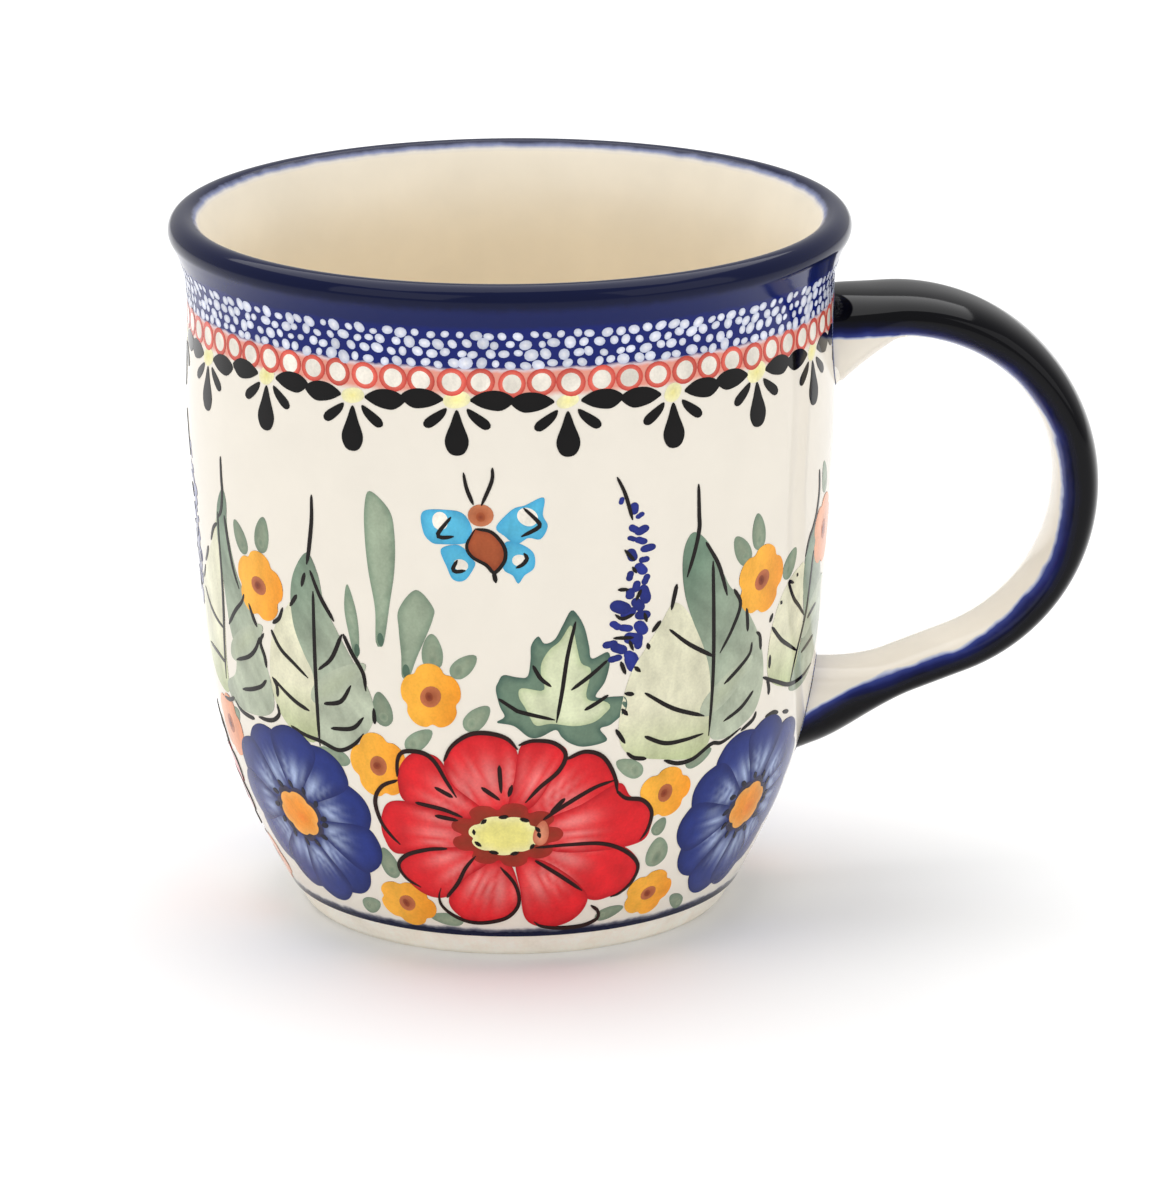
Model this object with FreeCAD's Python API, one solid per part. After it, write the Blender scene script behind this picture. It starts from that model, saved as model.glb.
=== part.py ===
import math
import os

import FreeCAD
import Part

# A glazed stoneware mug with a strap handle. Millimetres, +Z up, +X towards the handle.
# The origin is on the cup's axis, in the plane that the foot ring stands on.
# The clay parts are drawn first; the glaze coats are thin shells laid over them.

# ---- driving dimensions ------------------------------------------------------------------

GLAZE = 0.3                 # thickness of every fired glaze coat

LIP_R = 42.9                # radius of the circle that the lip bead's centre runs on
LIP_Z = 91.9                # height of the lip bead's centre
LIP_BEAD_R = 1.8            # radius of the clay bead
LIP_OUTSIDE_DEG = -33       # where the outer wall runs into the bead
LIP_SPLIT_DEG = 104         # where the outer glaze coat meets the inner one
LIP_INSIDE_DEG = 156        # where the bead runs into the inner wall

BARE_FOOT_HEIGHT = 3.4      # the foot is left unglazed below this height
FOOT_R = 28.7               # outer radius of the foot ring
FOOT_EDGE = 0.5             # bevel at the foot's outer corner
FOOT_INNER_R = 25.2
RECESS_R = 24.6             # radius of the turned recess under the cup, at its ceiling
RECESS_DEPTH = 2.2
BASE_GLAZE_R = 24.2

# (radius, height) of the clay wall, from the bare foot to the neck under the lip
OUTER_WALL = [
    (30.3, BARE_FOOT_HEIGHT), (35.4, 14.0), (38.7, 24.0), (40.7, 36.0),
    (41.9, 52.0), (42.65, 73.0), (42.4, 84.0), (43.05, 87.9),
]
# (radius, height) of the clay wall inside the cup, from the lip down to the floor
INNER_WALL = [
    (39.6, 87.0), (39.1, 80.0), (39.0, 68.0), (38.3, 52.0), (36.8, 36.0),
    (34.3, 24.0), (30.0, 14.5), (22.5, 9.2),
]
FLOOR_Z = 7.2
FLAT_FLOOR_R = 12.0         # the floor is flat inside this radius

HANDLE_CENTRE_X = 51.3      # the loop is an arc about this point
HANDLE_CENTRE_Z = 55.0
HANDLE_ARC_R = 24.35
HANDLE_TOP_DEG = 95         # the arc's ends; a straight run goes on from each into the wall
HANDLE_BOTTOM_DEG = -70
HANDLE_TOP_THICKNESS = 5.8  # the strap tapers from its upper end to its lower end
HANDLE_BOTTOM_THICKNESS = 4.6
HANDLE_TOP_WIDTH = 16.4
HANDLE_BOTTOM_WIDTH = 13.6
HANDLE_END_INSIDE = 4.5     # how far each run is drawn on past the wall before it is trimmed
UPPER_WALL_R = LIP_R        # wall radius that the upper run's distances are counted from
LOWER_WALL_R = OUTER_WALL[2][0]
# Distances from the wall at which the straight runs are given a section, in order of travel
UPPER_RUN_SECTIONS = (-HANDLE_END_INSIDE, 0.0, 2.0, 4.0)
LOWER_RUN_SECTIONS = (15.0, 9.0, 6.0, 4.0, 2.0, 0.0, -HANDLE_END_INSIDE)
ARC_STEPS = 9               # equal steps round the arc between the two runs
SECTION_POWER = 2.4         # 2 is an ellipse; a higher power is squarer
SECTION_POINTS = 16

# Each end of the strap swells where it was pressed on to the wall. On the finger side the
# swelling opens towards the wall like a fillet: (growth, length, power). On the outer side
# and on the edges it rises and levels off: (growth, length).
UPPER_FINGER_FLARE = (5.4, 8.6, 1.25)
LOWER_FINGER_FLARE = (4.8, 13.0, 1.6)
UPPER_OUTER_FLARE = (0.5, 8.0)
LOWER_OUTER_FLARE = (2.3, 15.0)
EDGE_FLARE = (0.5, 8.0)

SLIP_THICKNESS = 0.8        # the layer of luting slip between the strap and the wall

MM3_PER_CM3 = 1000

AXIS_BASE = FreeCAD.Vector(0, 0, 0)
AXIS_UP = FreeCAD.Vector(0, 0, 1)


# ---- outlines in the XZ plane ------------------------------------------------------------

def at(radius, height):
    return FreeCAD.Vector(radius, 0, height)


def polar(centre, radius, degrees):
    angle = math.radians(degrees)
    return centre + FreeCAD.Vector(radius * math.cos(angle), 0, radius * math.sin(angle))


def spline(points):
    """A smooth curve through the points."""
    curve = Part.BSplineCurve()
    curve.interpolate(Points=points)
    return curve


def moved_out(curve, distance, start=None, end=None, samples=40):
    """The curve shifted sideways, to the right of the way that it runs.

    start and end, where they are given, are the exact points that it has to meet.
    """
    first = curve.FirstParameter
    span = curve.LastParameter - first
    points = []
    for i in range(samples):
        u = first + span * i / (samples - 1)
        along = curve.tangent(u)[0]
        side = FreeCAD.Vector(along.z, 0, -along.x)
        points.append(curve.value(u) + side * distance)
    points[0] = start or points[0]
    points[-1] = end or points[-1]
    return spline(points)


def bead_arc(start_deg, end_deg, growth):
    """Part of the lip bead's outline, grown by the thickness of what lies over it."""
    centre = at(LIP_R, LIP_Z)
    radius = LIP_BEAD_R + growth
    middle = (start_deg + end_deg) / 2
    ends = [polar(centre, radius, a) for a in (start_deg, middle, end_deg)]
    return Part.Arc(*ends)


def outer_wall_curve():
    points = [at(*p) for p in OUTER_WALL]
    points.append(polar(at(LIP_R, LIP_Z), LIP_BEAD_R, LIP_OUTSIDE_DEG))
    return spline(points)


def inner_wall_curve():
    points = [polar(at(LIP_R, LIP_Z), LIP_BEAD_R, LIP_INSIDE_DEG)]
    points += [at(*p) for p in INNER_WALL]
    points.append(at(FLAT_FLOOR_R, FLOOR_Z))
    return spline(points)


def line(a, b):
    return Part.LineSegment(a, b)


def turned(outline):
    """The solid swept by a closed outline that goes once round the axis."""
    wire = Part.Wire([curve.toShape() for curve in outline])
    return Part.Face(wire).revolve(AXIS_BASE, AXIS_UP, 360)


def coat_outline(inside, outside):
    """A closed strip between two runs of curves that both go the same way."""
    start = line(inside[0].value(inside[0].FirstParameter), outside[0].value(outside[0].FirstParameter))
    end = line(inside[-1].value(inside[-1].LastParameter), outside[-1].value(outside[-1].LastParameter))
    return inside + [end] + outside[::-1] + [start]


# ---- the cup -----------------------------------------------------------------------------

def make_body():
    wall = outer_wall_curve()
    inside = inner_wall_curve()
    outline = [
        line(at(FOOT_INNER_R, 0), at(FOOT_R - FOOT_EDGE, 0)),
        line(at(FOOT_R - FOOT_EDGE, 0), at(FOOT_R, FOOT_EDGE)),
        line(at(FOOT_R, FOOT_EDGE), at(*OUTER_WALL[0])),
        wall,
        bead_arc(LIP_OUTSIDE_DEG, LIP_INSIDE_DEG, 0),
        inside,
        line(at(FLAT_FLOOR_R, FLOOR_Z), at(0, FLOOR_Z)),
        line(at(0, FLOOR_Z), at(0, RECESS_DEPTH)),
        line(at(0, RECESS_DEPTH), at(RECESS_R, RECESS_DEPTH)),
        line(at(RECESS_R, RECESS_DEPTH), at(FOOT_INNER_R, 0)),
    ]
    return turned(outline)


def make_wall_filled(growth):
    """The cup as a solid plug, its side grown outwards, for trimming what meets the wall."""
    wall = outer_wall_curve()
    if growth:
        wall = moved_out(wall, growth)
    bottom = wall.value(wall.FirstParameter)
    top = wall.value(wall.LastParameter)
    return turned([
        line(at(0, bottom.z), bottom),
        wall,
        line(top, at(0, top.z)),
        line(at(0, top.z), at(0, bottom.z)),
    ])


def make_outer_glaze():
    wall = outer_wall_curve()
    lip = polar(at(LIP_R, LIP_Z), LIP_BEAD_R + GLAZE, LIP_OUTSIDE_DEG)
    inside = [wall, bead_arc(LIP_OUTSIDE_DEG, LIP_SPLIT_DEG, 0)]
    outside = [moved_out(wall, GLAZE, end=lip), bead_arc(LIP_OUTSIDE_DEG, LIP_SPLIT_DEG, GLAZE)]
    return turned(coat_outline(inside, outside))


def make_inner_glaze():
    wall = inner_wall_curve()
    lip = polar(at(LIP_R, LIP_Z), LIP_BEAD_R + GLAZE, LIP_INSIDE_DEG)
    coat = moved_out(wall, GLAZE, start=lip)
    floor = line(at(FLAT_FLOOR_R, FLOOR_Z), at(0, FLOOR_Z))
    wet_floor = line(coat.value(coat.LastParameter), at(0, FLOOR_Z + GLAZE))
    under = [bead_arc(LIP_SPLIT_DEG, LIP_INSIDE_DEG, 0), wall, floor]
    over = [bead_arc(LIP_SPLIT_DEG, LIP_INSIDE_DEG, GLAZE), coat, wet_floor]
    return turned(coat_outline(under, over))


def make_base_glaze():
    disc = Part.makeCylinder(BASE_GLAZE_R, GLAZE)
    disc.translate(FreeCAD.Vector(0, 0, RECESS_DEPTH - GLAZE))
    return disc


# ---- the handle --------------------------------------------------------------------------

def handle_centre_line():
    """Stations along the strap, from inside the wall at the top to inside it at the bottom.

    Each is (point, direction of travel, share of the way round, distance from the nearer wall).
    """
    centre = at(HANDLE_CENTRE_X, HANDLE_CENTRE_Z)
    stations = []
    top = polar(centre, HANDLE_ARC_R, HANDLE_TOP_DEG)
    into_arc = polar(at(0, 0), 1, HANDLE_TOP_DEG - 90)
    bottom = polar(centre, HANDLE_ARC_R, HANDLE_BOTTOM_DEG)
    out_of_arc = polar(at(0, 0), 1, HANDLE_BOTTOM_DEG - 90)
    top_run = top.x - UPPER_WALL_R
    bottom_run = (bottom.x - LOWER_WALL_R) / -out_of_arc.x
    for from_wall in UPPER_RUN_SECTIONS:
        stations.append((top - into_arc * (top_run - from_wall), into_arc, 0.0, from_wall))
    for i in range(ARC_STEPS + 1):
        share = i / ARC_STEPS
        angle = HANDLE_TOP_DEG + (HANDLE_BOTTOM_DEG - HANDLE_TOP_DEG) * share
        along = polar(at(0, 0), 1, angle - 90)
        past_top = math.radians(HANDLE_TOP_DEG - angle) * HANDLE_ARC_R
        past_bottom = math.radians(angle - HANDLE_BOTTOM_DEG) * HANDLE_ARC_R
        from_wall = min(top_run + past_top, bottom_run + past_bottom)
        stations.append((polar(centre, HANDLE_ARC_R, angle), along, share, from_wall))
    for from_wall in LOWER_RUN_SECTIONS:
        stations.append((bottom + out_of_arc * (bottom_run - from_wall), out_of_arc, 1.0, from_wall))
    return stations


def nearness(from_wall, length):
    """1 at the wall, falling to 0 at the flare's length."""
    return min(max(1 - from_wall / length, 0), 1)


def opening_flare(from_wall, flare):
    growth, length, power = flare
    return growth * nearness(from_wall, length) ** power


def levelling_flare(from_wall, flare):
    growth, length = flare
    near = nearness(from_wall, length)
    return growth * near * near * (3 - 2 * near)


def squared(ratio):
    """A cosine or sine pushed outwards, which turns an ellipse into the strap's squarer oval."""
    return math.copysign(abs(ratio) ** (2 / SECTION_POWER), ratio)


def strap_section(station, growth):
    """One closed cross-section of the strap, square to its centre line."""
    point, along, share, from_wall = station
    outward = FreeCAD.Vector(-along.z, 0, along.x)
    upper = share < 0.5
    thickness = HANDLE_TOP_THICKNESS + (HANDLE_BOTTOM_THICKNESS - HANDLE_TOP_THICKNESS) * share
    width = HANDLE_TOP_WIDTH + (HANDLE_BOTTOM_WIDTH - HANDLE_TOP_WIDTH) * share
    half = thickness / 2 + growth
    outer = half + levelling_flare(from_wall, UPPER_OUTER_FLARE if upper else LOWER_OUTER_FLARE)
    finger = half + opening_flare(from_wall, UPPER_FINGER_FLARE if upper else LOWER_FINGER_FLARE)
    half_width = width / 2 + growth + levelling_flare(from_wall, EDGE_FLARE)
    centre = point + outward * ((outer - finger) / 2)
    half_height = (outer + finger) / 2
    points = []
    for i in range(SECTION_POINTS):
        angle = 2 * math.pi * i / SECTION_POINTS
        up = squared(math.cos(angle)) * half_height
        side = squared(math.sin(angle)) * half_width
        points.append(centre + outward * up + FreeCAD.Vector(0, side, 0))
    curve = Part.BSplineCurve()
    curve.interpolate(Points=points, PeriodicFlag=True)
    return Part.Wire(curve.toShape())


def make_strap(growth):
    sections = [strap_section(s, growth) for s in handle_centre_line()]
    return Part.makeLoft(sections, True, False)


def split_by_height(shape, above):
    """The solids of a shape that lie above, or below, the middle of the loop."""
    kept = [s for s in shape.Solids if (s.CenterOfMass.z > HANDLE_CENTRE_Z) == above]
    return kept[0] if len(kept) == 1 else Part.makeCompound(kept)


# ---- assembly ----------------------------------------------------------------------------

def make_parts():
    clay_plug = make_wall_filled(0)
    slip_plug = make_wall_filled(SLIP_THICKNESS)
    strap = make_strap(0)
    glazed_strap = make_strap(GLAZE)
    joints = strap.common(slip_plug).cut(clay_plug)
    return {
        "body": make_body(),
        "handle": strap.cut(slip_plug),
        "upper_slip_joint": split_by_height(joints, above=True),
        "lower_slip_joint": split_by_height(joints, above=False),
        "inner_glaze": make_inner_glaze(),
        "outer_glaze": make_outer_glaze().cut(glazed_strap),
        "handle_glaze": glazed_strap.cut(strap).cut(clay_plug),
        "base_glaze": make_base_glaze(),
    }


def main():
    os.makedirs("parts", exist_ok=True)
    for name, shape in make_parts().items():
        box = shape.optimalBoundingBox()
        volume = shape.Volume / MM3_PER_CM3
        print(
            f"{name:18s} solids {len(shape.Solids)} valid {shape.isValid()} volume {volume:8.3f} cm3"
            f"  x {box.XMin:.1f}..{box.XMax:.1f}  z {box.ZMin:.1f}..{box.ZMax:.1f}"
        )
        shape.exportStep(f"parts/{name}.step")


main()
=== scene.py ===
"""A hand-painted stoneware mug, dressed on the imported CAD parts.

Lengths are millimetres in the row frame, and MM turns them into metres when a mesh is made.
A place on the painted wall is (u, z): z is its height, and u is counted round the wall from
the middle of the front, on a circle of radius PAINT_R, towards the handle.
"""

import math
import random

import bpy
import numpy as np
from mathutils import Matrix, Vector, geometry


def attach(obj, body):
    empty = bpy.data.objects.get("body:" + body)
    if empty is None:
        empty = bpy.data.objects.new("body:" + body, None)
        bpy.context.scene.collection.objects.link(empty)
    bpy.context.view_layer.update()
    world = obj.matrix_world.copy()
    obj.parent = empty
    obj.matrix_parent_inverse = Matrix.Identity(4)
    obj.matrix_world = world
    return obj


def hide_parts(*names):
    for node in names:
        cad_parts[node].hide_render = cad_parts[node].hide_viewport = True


MM = 0.001
rng = random.Random(7)

# ---- shape, as in the CAD ----------------------------------------------------------------

GLAZE = 0.3
LIP_R = 42.9
LIP_Z = 91.9
LIP_BEAD_R = 1.8
LIP_OUTSIDE_DEG = -33
LIP_SPLIT_DEG = 104
LIP_INSIDE_DEG = 156
OUTER_WALL = [
    (30.3, 3.4), (35.4, 14.0), (38.7, 24.0), (40.7, 36.0),
    (41.9, 52.0), (42.65, 73.0), (42.4, 84.0), (43.05, 87.9),
]
INNER_WALL = [
    (39.6, 87.0), (39.1, 80.0), (39.0, 68.0), (38.3, 52.0), (36.8, 36.0),
    (34.3, 24.0), (30.0, 14.5), (22.5, 9.2),
]
FLOOR_Z = 7.2
FLAT_FLOOR_R = 12.0
TURNED_SEGMENTS = 240
BEAD_STEPS = 28                     # points along each arc of the lip
WALL_STEPS = 120                    # points up the outer wall
INNER_STEPS = 110                   # points down the inner wall and over the floor
SHARP_DEG = 40                      # edges that turn by more than this are left sharp

HANDLE_CENTRE = (51.3, 55.0)
HANDLE_ARC_R = 24.35
HANDLE_TOP_DEG = 95
HANDLE_BOTTOM_DEG = -70
HANDLE_THICKNESS = (5.8, 4.6)       # at the upper end and at the lower end
HANDLE_WIDTH = (16.4, 13.6)
HANDLE_END_INSIDE = 4.5             # how far the strap's runs go on past the wall, before they are cut
LOWER_WALL_R = 38.7
SECTION_POWER = 2.4
UPPER_FINGER_FLARE = (5.4, 8.6, 1.25)   # growth at the wall, length, power
LOWER_FINGER_FLARE = (4.8, 13.0, 1.6)
UPPER_OUTER_FLARE = (0.5, 8.0)          # growth at the wall, length
LOWER_OUTER_FLARE = (2.3, 15.0)
EDGE_FLARE = (0.5, 8.0)
HANDLE_RING = 56                    # points round the strap
HANDLE_STEP = 0.9                   # distance between rings along it
COAT_ROOT_DEPTH = 0.9               # the coat's ends stop this far under the clay wall
WALL_PASSES = 12                    # times that the strap's end is drawn back towards the wall
PAINT_EDGE_SHARES = (0, 0.12, 0.6, 0.85, 1)
PAINT_EDGE = (-1.7, -2.3, -2.2, -1.7, -1.5)     # where the dark paint stops, at those shares
PAINT_EDGE_RISE = (0.9, 7)          # it rises this much at the wall, over this length

# ---- painting ----------------------------------------------------------------------------

PAINT_R = 42.0
FRONT_DEG = -93.5                   # the direction that the middle of the painted front faces
ROUND = 2 * math.pi * PAINT_R       # once round the wall, in u
BACK_U = ROUND / 2                  # the garden is painted again, centred here
PAINT_DEPTH = 0.08                  # how far each brush mark goes down into the glaze
FIRST_LIFT = 0.03                   # how far the lowest brush marks stand above it
LIFT_STEP = 0.008                   # each later level stands this much higher
GRID = 1.0                          # spacing of the points inside a brush mark
RIM_STEP = 0.5                      # spacing of the points round its rim, as a share of that
ROW_STEP = 0.87                     # and of the rows inside it
RIM_CLEARANCE = 0.35                # inner points keep this share of the spacing from the rim
WELD = 1e-5
STROKE_STEP = 0.45                  # spacing of the points along a brush line
STROKE_FILLS = 0.05                 # a line fills out over this share of its length
STROKE_THINS = 0.12                 # and thins away over this one
STROKE_TIP = 0.12                   # the least that is left at its ends, before the root is taken
FLOWER_STRETCH = 1.15               # the big flowers are this much wider than they are tall
ROOT_LINE_WIDTH = 0.6               # the blue line round each end of the handle

CREAM = (239, 232, 219)
INTERIOR = (239, 228, 206)
BARE_CLAY = (255, 250, 239)
INK = (24, 18, 16)
WARM_INK = (40, 18, 16)
BLUE_INK = (34, 32, 48)
STAMP_BLACK = (10, 7, 7)
STAMP_RIM = (4, 3, 4)
COBALT = (11, 18, 52)
BAND_BLUE = (20, 31, 86)
SPOT_BLUE = (16, 30, 108)
SPOT_WHITE = (240, 240, 244)
SPOT_RIM = (196, 202, 224)
ROOT_BLUE = (40, 50, 118)
ROOT_RIM = (120, 132, 180)
CORAL = (226, 112, 96)
CORAL_RIM = (206, 72, 62)
CORAL_WASH = (234, 156, 138)
PALE_YELLOW = (242, 232, 150)
YELLOW_RIM = (244, 238, 190)
DAB_GREEN = (146, 158, 134)
DAB_RIM = (126, 145, 123)
DAB_SPOT = (110, 132, 110)
DARK_GREEN = (84, 110, 92)
SPINDLE_GREEN = (158, 172, 148)
SPINDLE_RIM = (126, 146, 124)
LEAF_DARK = (178, 186, 164)
LEAF_PALE = (226, 223, 194)
LEAF_TEAL = (108, 132, 112)
LEAF_FOOT = (186, 196, 148)
LEAF_SHEEN = (176, 184, 156)
MAPLE_EDGE = (70, 98, 86)
MAPLE_PALE = (216, 222, 186)
MAPLE_PALE_RIM = (190, 202, 160)
ORANGE = (248, 178, 62)
DEEP_ORANGE = (247, 146, 28)
BROWN = (150, 72, 42)
BROWN_RIM = (190, 110, 70)
DARK_BROWN = (118, 44, 26)
PEACH = (240, 166, 124)
DEEP_PEACH = (236, 146, 100)
RED = (224, 34, 42)
DEEP_RED = (178, 16, 30)
PINK = (240, 150, 146)
RED_RING = (140, 50, 32)
RED_RING_RIM = (160, 44, 34)
RED_HEART = (238, 230, 138)
RED_HEART_RIM = (244, 238, 176)
RED_BLUSH = (226, 150, 116)
RED_BLUSH_RIM = (206, 112, 84)
NAVY = (27, 35, 92)
FLOWER_BLUE = (34, 50, 124)
PALE_BLUE = (172, 188, 222)
BLUE_RING = (44, 36, 40)
BLUE_RING_RIM = (52, 50, 84)
BLUE_HEART = (246, 152, 44)
BLUE_HEART_RIM = (246, 172, 80)
BLUE_BLUSH = (244, 132, 24)
TURQUOISE = (86, 180, 214)
TURQUOISE_RIM = (70, 164, 206)
HYACINTH = (38, 50, 136)
HYACINTH_RIM = (34, 44, 122)
LAVENDER = (128, 134, 168)
RUST = (168, 84, 48)
RUST_RIM = (140, 62, 34)
PALE_RUST = (196, 120, 82)
DARK_RUST = (130, 56, 32)


def linear(colour):
    """sRGB from 0 to 255 as linear values."""
    c = np.array(colour, float) / 255
    return np.where(c <= 0.04045, c / 12.92, ((c + 0.055) / 1.055) ** 2.4)


def rgba(colour):
    return (*linear(colour), 1.0)


# ---- curves ------------------------------------------------------------------------------

def natural_spline(points, samples):
    """Points along the natural cubic spline through the given ones, by chord length."""
    p = np.array(points, float)
    t = np.concatenate([[0], np.cumsum(np.linalg.norm(np.diff(p, axis=0), axis=1))])
    h = np.diff(t)
    n = len(p)
    system = np.eye(n)
    bend = np.zeros_like(p)
    for i in range(1, n - 1):
        system[i, i - 1:i + 2] = h[i - 1], 2 * (h[i - 1] + h[i]), h[i]
        bend[i] = 6 * ((p[i + 1] - p[i]) / h[i] - (p[i] - p[i - 1]) / h[i - 1])
    m = np.linalg.solve(system, bend)
    s = np.linspace(0, t[-1], samples)
    k = np.clip(np.searchsorted(t, s, side="right") - 1, 0, n - 2)
    after = (s - t[k])[:, None]
    before = (t[k + 1] - s)[:, None]
    gap = h[k][:, None]
    cubic = (m[k] * before ** 3 + m[k + 1] * after ** 3) / (6 * gap)
    start = (p[k] / gap - m[k] * gap / 6) * before
    end = (p[k + 1] / gap - m[k + 1] * gap / 6) * after
    return cubic + start + end


def brush_curve(points, closed, step):
    """A Catmull-Rom curve through the points, sampled about every step."""
    p = np.array(points, float)
    if closed:
        p = np.vstack([p[-1], p, p[:2]])
    else:
        p = np.vstack([2 * p[0] - p[1], p, 2 * p[-1] - p[-2]])
    runs = []
    for a, b, c, d in zip(p, p[1:], p[2:], p[3:]):
        count = max(2, math.ceil(np.linalg.norm(c - b) / step))
        t = (np.arange(count) / count)[:, None]
        runs.append(0.5 * (2 * b + (c - a) * t + (2 * a - 5 * b + 4 * c - d) * t ** 2
                           + (3 * b - a - 3 * c + d) * t ** 3))
    if not closed:
        runs.append(p[-2][None])
    return np.vstack(runs)


def sideways(curve):
    """Unit vectors to the right of the way that the curve runs."""
    along = np.gradient(curve, axis=0)
    along /= np.linalg.norm(along, axis=1)[:, None]
    return np.stack([along[:, 1], -along[:, 0]], axis=1)


def bead_arc(start_deg, end_deg, radius):
    """Points (r, z) along the lip's round bead."""
    angles = np.radians(np.linspace(start_deg, end_deg, BEAD_STEPS))
    return np.stack([LIP_R + radius * np.cos(angles), LIP_Z + radius * np.sin(angles)], axis=1)


BEAD_START = tuple(bead_arc(LIP_OUTSIDE_DEG, 0, LIP_BEAD_R)[0])
CLAY_WALL = natural_spline(OUTER_WALL + [BEAD_START], WALL_STEPS)
WALL_NORMAL = sideways(CLAY_WALL)
GLAZE_WALL = CLAY_WALL + WALL_NORMAL * GLAZE


def on_wall(uz, lift):
    """The places on the outer glaze at each (u, z), raised by lift, and the normals there."""
    turn = np.radians(FRONT_DEG) + uz[:, 0] / PAINT_R
    heights = GLAZE_WALL[:, 1]
    r = np.interp(uz[:, 1], heights, GLAZE_WALL[:, 0])
    out = np.interp(uz[:, 1], heights, WALL_NORMAL[:, 0])
    up = np.interp(uz[:, 1], heights, WALL_NORMAL[:, 1])
    c, s = np.cos(turn), np.sin(turn)
    normal = np.stack([out * c, out * s, up], axis=1)
    place = np.stack([r * c, r * s, uz[:, 1]], axis=1)
    return place + normal * lift, normal


# ---- meshes ------------------------------------------------------------------------------

def new_piece(name, points, faces, material, normals=None):
    """A mesh piece that rides on the mug, smooth shaded unless its own normals are given."""
    mesh = bpy.data.meshes.new(name)
    mesh.from_pydata((np.asarray(points) * MM).tolist(), [], faces)
    mesh.validate()
    mesh.shade_smooth()
    if normals is None:
        mesh.set_sharp_from_angle(angle=math.radians(SHARP_DEG))
    else:
        mesh.normals_split_custom_set_from_vertices(np.asarray(normals).tolist())
    mesh.materials.append(material)
    piece = bpy.data.objects.new(name, mesh)
    bpy.context.scene.collection.objects.link(piece)
    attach(piece, "root")
    return piece


def turned_mesh(outline):
    """Points and faces swept round the axis by a closed outline whose ends may lie on it."""
    turns = np.arange(TURNED_SEGMENTS) * 2 * math.pi / TURNED_SEGMENTS
    points = []
    rings = []
    for r, z in outline:
        first = len(points)
        if r < 1e-6:
            points.append((0, 0, z))
            rings.append([first] * TURNED_SEGMENTS)
        else:
            points += [(r * math.cos(a), r * math.sin(a), z) for a in turns]
            rings.append(list(range(first, first + TURNED_SEGMENTS)))
    faces = []
    for lower, upper in zip(rings, rings[1:] + rings[:1]):
        for i in range(TURNED_SEGMENTS):
            j = (i + 1) % TURNED_SEGMENTS
            corners = list(dict.fromkeys((lower[i], lower[j], upper[j], upper[i])))
            if len(corners) > 2:
                faces.append(corners)
    return points, faces


def make_outer_coat(material):
    over = np.vstack([GLAZE_WALL[:-1], bead_arc(LIP_OUTSIDE_DEG, LIP_SPLIT_DEG, LIP_BEAD_R + GLAZE)])
    under = np.vstack([CLAY_WALL[:-1], bead_arc(LIP_OUTSIDE_DEG, LIP_SPLIT_DEG, LIP_BEAD_R)])
    points, faces = turned_mesh(np.vstack([over, under[::-1]]))
    piece = new_piece("outer_glaze_coat", points, faces, material)
    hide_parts("outer_glaze")


def make_inner_coat(material):
    lip = tuple(bead_arc(LIP_INSIDE_DEG, 0, LIP_BEAD_R)[0])
    clay = natural_spline([lip] + INNER_WALL + [(FLAT_FLOOR_R, FLOOR_Z)], INNER_STEPS)
    wet = clay + sideways(clay) * GLAZE
    wet[-1] = FLAT_FLOOR_R, FLOOR_Z + GLAZE
    over = np.vstack([
        bead_arc(LIP_SPLIT_DEG, LIP_INSIDE_DEG, LIP_BEAD_R + GLAZE), wet[1:], [(0, FLOOR_Z + GLAZE)],
    ])
    under = np.vstack([
        bead_arc(LIP_SPLIT_DEG, LIP_INSIDE_DEG, LIP_BEAD_R), clay[1:], [(0, FLOOR_Z)],
    ])
    points, faces = turned_mesh(np.vstack([over, under[::-1]]))
    piece = new_piece("inner_glaze_coat", points, faces, material)
    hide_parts("inner_glaze")


# ---- handle ------------------------------------------------------------------------------

def travel(degrees):
    """The way that the strap runs at an angle of its arc."""
    a = math.radians(degrees - 90)
    return np.array([math.cos(a), math.sin(a)])


def arc_point(degrees):
    a = math.radians(degrees)
    return np.array(HANDLE_CENTRE) + HANDLE_ARC_R * np.array([math.cos(a), math.sin(a)])


def handle_stations():
    """(point, direction, share of the way round, distance from the nearer wall) in XZ."""
    top, bottom = arc_point(HANDLE_TOP_DEG), arc_point(HANDLE_BOTTOM_DEG)
    into, out_of = travel(HANDLE_TOP_DEG), travel(HANDLE_BOTTOM_DEG)
    top_run = top[0] - LIP_R
    bottom_run = (bottom[0] - LOWER_WALL_R) / -out_of[0]
    stations = []
    for d in np.arange(-HANDLE_END_INSIDE, top_run, HANDLE_STEP):
        stations.append((top - into * (top_run - d), into, 0.0, d))
    sweep = math.radians(HANDLE_TOP_DEG - HANDLE_BOTTOM_DEG) * HANDLE_ARC_R
    for gone in np.linspace(0, sweep, math.ceil(sweep / HANDLE_STEP)):
        degrees = HANDLE_TOP_DEG - math.degrees(gone / HANDLE_ARC_R)
        near = min(top_run + gone, bottom_run + sweep - gone)
        stations.append((arc_point(degrees), travel(degrees), gone / sweep, near))
    for d in np.arange(bottom_run - HANDLE_STEP, -HANDLE_END_INSIDE, -HANDLE_STEP):
        stations.append((bottom + out_of * (bottom_run - d), out_of, 1.0, d))
    return stations


def nearness(distance, length):
    """1 at the wall, falling to 0 at length away from it."""
    return min(max(1 - distance / length, 0), 1)


def levelling(distance, flare):
    """A flare's growth, which leaves the strap and meets the wall without a corner."""
    near = nearness(distance, flare[1])
    return flare[0] * near * near * (3 - 2 * near)


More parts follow.
